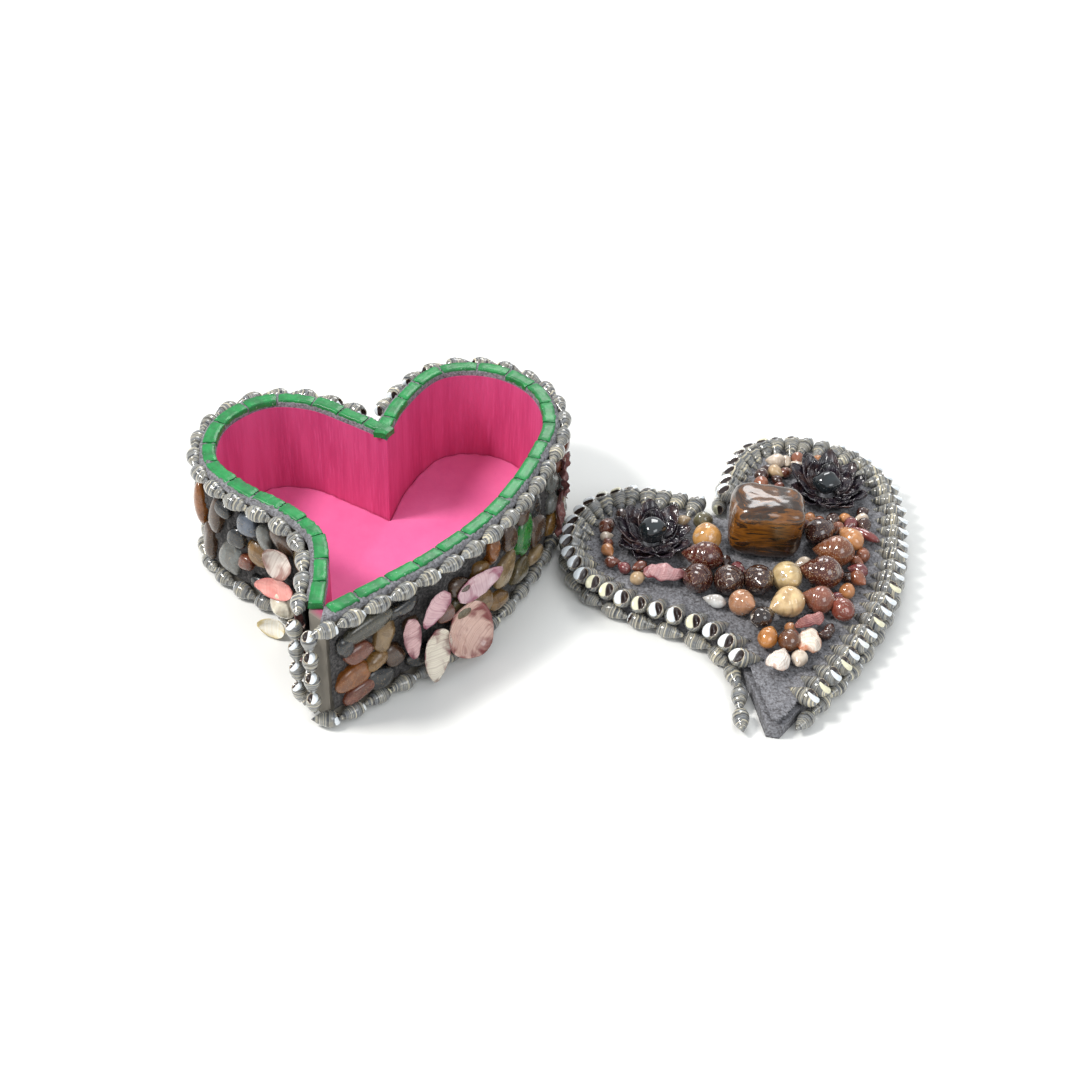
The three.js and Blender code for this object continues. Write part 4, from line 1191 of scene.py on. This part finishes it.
def build_small_shells():
    """The smallest shells, filling the grout between the larger ones."""
    cluster = Cluster("lid_small_shells", "lid")
    rng = np.random.default_rng(77)
    loop = heart_loop(-6.0)
    taken = [(x, y, radius * 1.5) for _, x, y, _, _, radius, *_ in LID_SHELLS]
    taken += [(x, y, radius) for _, (x, y), radius, *_ in FLOWERS]
    taken += [(*TIGER_EYE_PLACE, 19), (-36, -10.5, 7), (15.5, -47, 5), (12.5, -57.5, 6), (-2.5, -67, 5)]
    for _ in range(FILL_TRIES):
        spot = rng.uniform((-66, -76), (70, 62))
        radius = rng.uniform(2.3, 3.6)
        clear = all(math.hypot(spot[0] - x, spot[1] - y) > reach + radius * 0.7 for x, y, reach in taken)
        if not clear or not inside(spot[None], loop)[0]:
            continue
        taken.append((*spot, radius * 0.85))
        turn = rng.uniform(0, 2 * math.pi)
        ahead = np.array([math.cos(turn), math.sin(turn), rng.uniform(-0.1, 0.25)]) * radius * 1.35
        centre = np.array([*spot, LID_TOP + radius * 0.75])
        seed = rng.random()
        tint = srgb(*FILL_TINTS[rng.integers(len(FILL_TINTS))])
        speckle, fleck = rng.uniform(0, 0.6), rng.uniform(0.1, 0.9)
        snail(cluster, centre + ahead, centre - ahead, UP, radius, seed, belly=0.6, rows=14, columns=16,
              tint=tint, speckle=speckle, fleck=fleck)
    cluster.build(SPECKLED)


# name, place, reach, petals in the outer ring, height, radius of the foot
FLOWERS = [
    ("left", (-36, 14), 17, 9, 9, 6), ("right", (48, 37), 18, 10, 10, 6),
]


def build_flowers():
    """Two flowers of dark petals in two rings, each with a black pebble."""
    for name, (x, y), radius, petals, height, base in FLOWERS:
        flower = Cluster(f"petal_flower_{name}_dressed", "lid")
        rng = np.random.default_rng(petals)
        layers = ((1.0, 1.0, petals, 0.0), (0.74, 0.8, petals - 2, 0.5))
        for layer, (share, tall, count, shift) in enumerate(layers):
            for i in range(count):
                angle = (i + shift) * 2 * math.pi / count + rng.uniform(-0.08, 0.08)
                out = np.array([math.cos(angle), math.sin(angle), 0.0])
                back = max(0.0, math.sin(angle))
                hinge = np.array([x, y, LID_TOP + 1.0]) + out * (base - 2.5)
                reach = (radius - 1.5 * back + rng.uniform(-0.8, 0.8)) * share
                rise = (height - 3 + 6 * back + rng.uniform(-1, 1)) * tall
                end = np.array([x, y, LID_TOP + rise]) + out * reach
                face = -out * 0.8 + UP
                width = 5.0 * (0.9 + 0.2 * share)
                valve(flower, hinge, end, face, width, 2.0, 100 + 20 * layer + i, ribs=9, crinkle=0.35)
        flower.build(MUSSEL, [f"petal_flower_{name}"])
        stone = Cluster(f"flower_pebble_{name}_dressed", "lid")
        centre = np.array([x, y, LID_TOP + 7.0])
        facing = UP * 0.9 + np.array([0, -0.4, 0])
        pebble(stone, centre, facing, 0.4, (6.0, 5.4, 4.6), petals, rows=20, columns=28, edge=0.9)
        stone.build(BLACK_STONE, [f"flower_pebble_{name}"])


def build_tiger_eye():
    """The big tumbled block: rounded, with a few flats."""
    block = Cluster("tiger_eye_dressed", "lid")
    rows, columns = 44, 64
    ball = ball_points(rows, columns)
    squareness = 5.0
    ball /= ((np.abs(ball) ** squareness).sum(1) ** (1 / squareness))[:, None]
    ball *= (1 + 0.02 * ripple(ball, 1.6, 61) + 0.008 * ripple(ball, 0.5, 62))[:, None]
    points = turned(ball * np.array(TIGER_EYE_HALF), math.radians(-14))
    points += np.array([*TIGER_EYE_PLACE, LID_TOP + GAP + TIGER_EYE_HALF[2]])
    block.add(points, [faces[:, ::-1] for faces in pod_faces(rows, columns)])
    block.build(TIGER_EYE, ["tiger_eye_stone"])


# ------------------------------------------------------------------ stage
STAGE_REACH = 6.0
STAGE_LEVEL = -0.0002  # just under the feet, so that the two never share a plane
WORLD_TINT = (0.93, 0.96, 1.0, 1.0)
WORLD_STRENGTH = 0.74
# name, place, target, size, power, tint
LIGHTS = [
    ("key", (-0.75, -0.15, 0.95), (-0.05, 0, 0.02), 0.25, 11.5, (1.0, 0.98, 0.95)),
    ("fill", (0.6, -0.8, 0.8), (0, 0, 0.02), 0.6, 4.0, (0.95, 0.98, 1.0)),
    ("back", (0.1, 0.9, 0.9), (0, 0, 0.02), 0.5, 6.0, (1, 1, 1)),
]


def stage_material():
    shader = Shader("studio_floor", roughness=0.9, specular_ior_level=0.1)
    cloud = shader.noise(0.002, 2.0)
    shader.colour(shader.ramp(cloud, [(0.3, (232, 232, 229)), (0.7, (238, 238, 235))]))
    return shader.material


def build_stage():
    mesh = bpy.data.meshes.new("studio_floor")
    corners = [(STAGE_REACH * x, STAGE_REACH * y, 0) for x, y in ((-1, -1), (1, -1), (1, 1), (-1, 1))]
    mesh.from_pydata(corners, [], [(0, 1, 2, 3)])
    floor = bpy.data.objects.new("studio_floor", mesh)
    floor.location.z = STAGE_LEVEL
    bpy.context.scene.collection.objects.link(floor)
    mesh.materials.append(stage_material())


def area_light(name, place, target, size, power, tint):
    data = bpy.data.lights.new(name, "AREA")
    data.shape = "SQUARE"
    data.size = size
    data.energy = power
    data.color = tint
    light = bpy.data.objects.new(name, data)
    bpy.context.scene.collection.objects.link(light)
    light.location = place
    light.rotation_euler = (Vector(target) - Vector(place)).to_track_quat("-Z", "Y").to_euler()


def build_lights():
    world = bpy.data.worlds.new("studio")
    bpy.context.scene.world = world
    world.use_nodes = True
    background = world.node_tree.nodes["Background"]
    background.inputs["Color"].default_value = WORLD_TINT
    background.inputs["Strength"].default_value = WORLD_STRENGTH
    for light in LIGHTS:
        area_light(*light)
    view = bpy.context.scene.view_settings
    view.view_transform = "Standard"
    view.look = "None"


make_camera()
build_stage()
build_lights()
build_body()
build_floor()
build_tiles()
build_rim_grout()
build_edges()
wall_mosaic("right_wall", RIGHT, RIGHT_STONES + back_stones(118, RIGHT.length - 14, 5), "mosaic_right")
wall_mosaic("left_wall", LEFT, LEFT_STONES + back_stones(113, LEFT.length - 14, 6), "mosaic_left")
build_wall_shells()
build_lid_board()
build_lid_grout()
build_lid_shells()
build_small_shells()
build_flowers()
build_tiger_eye()
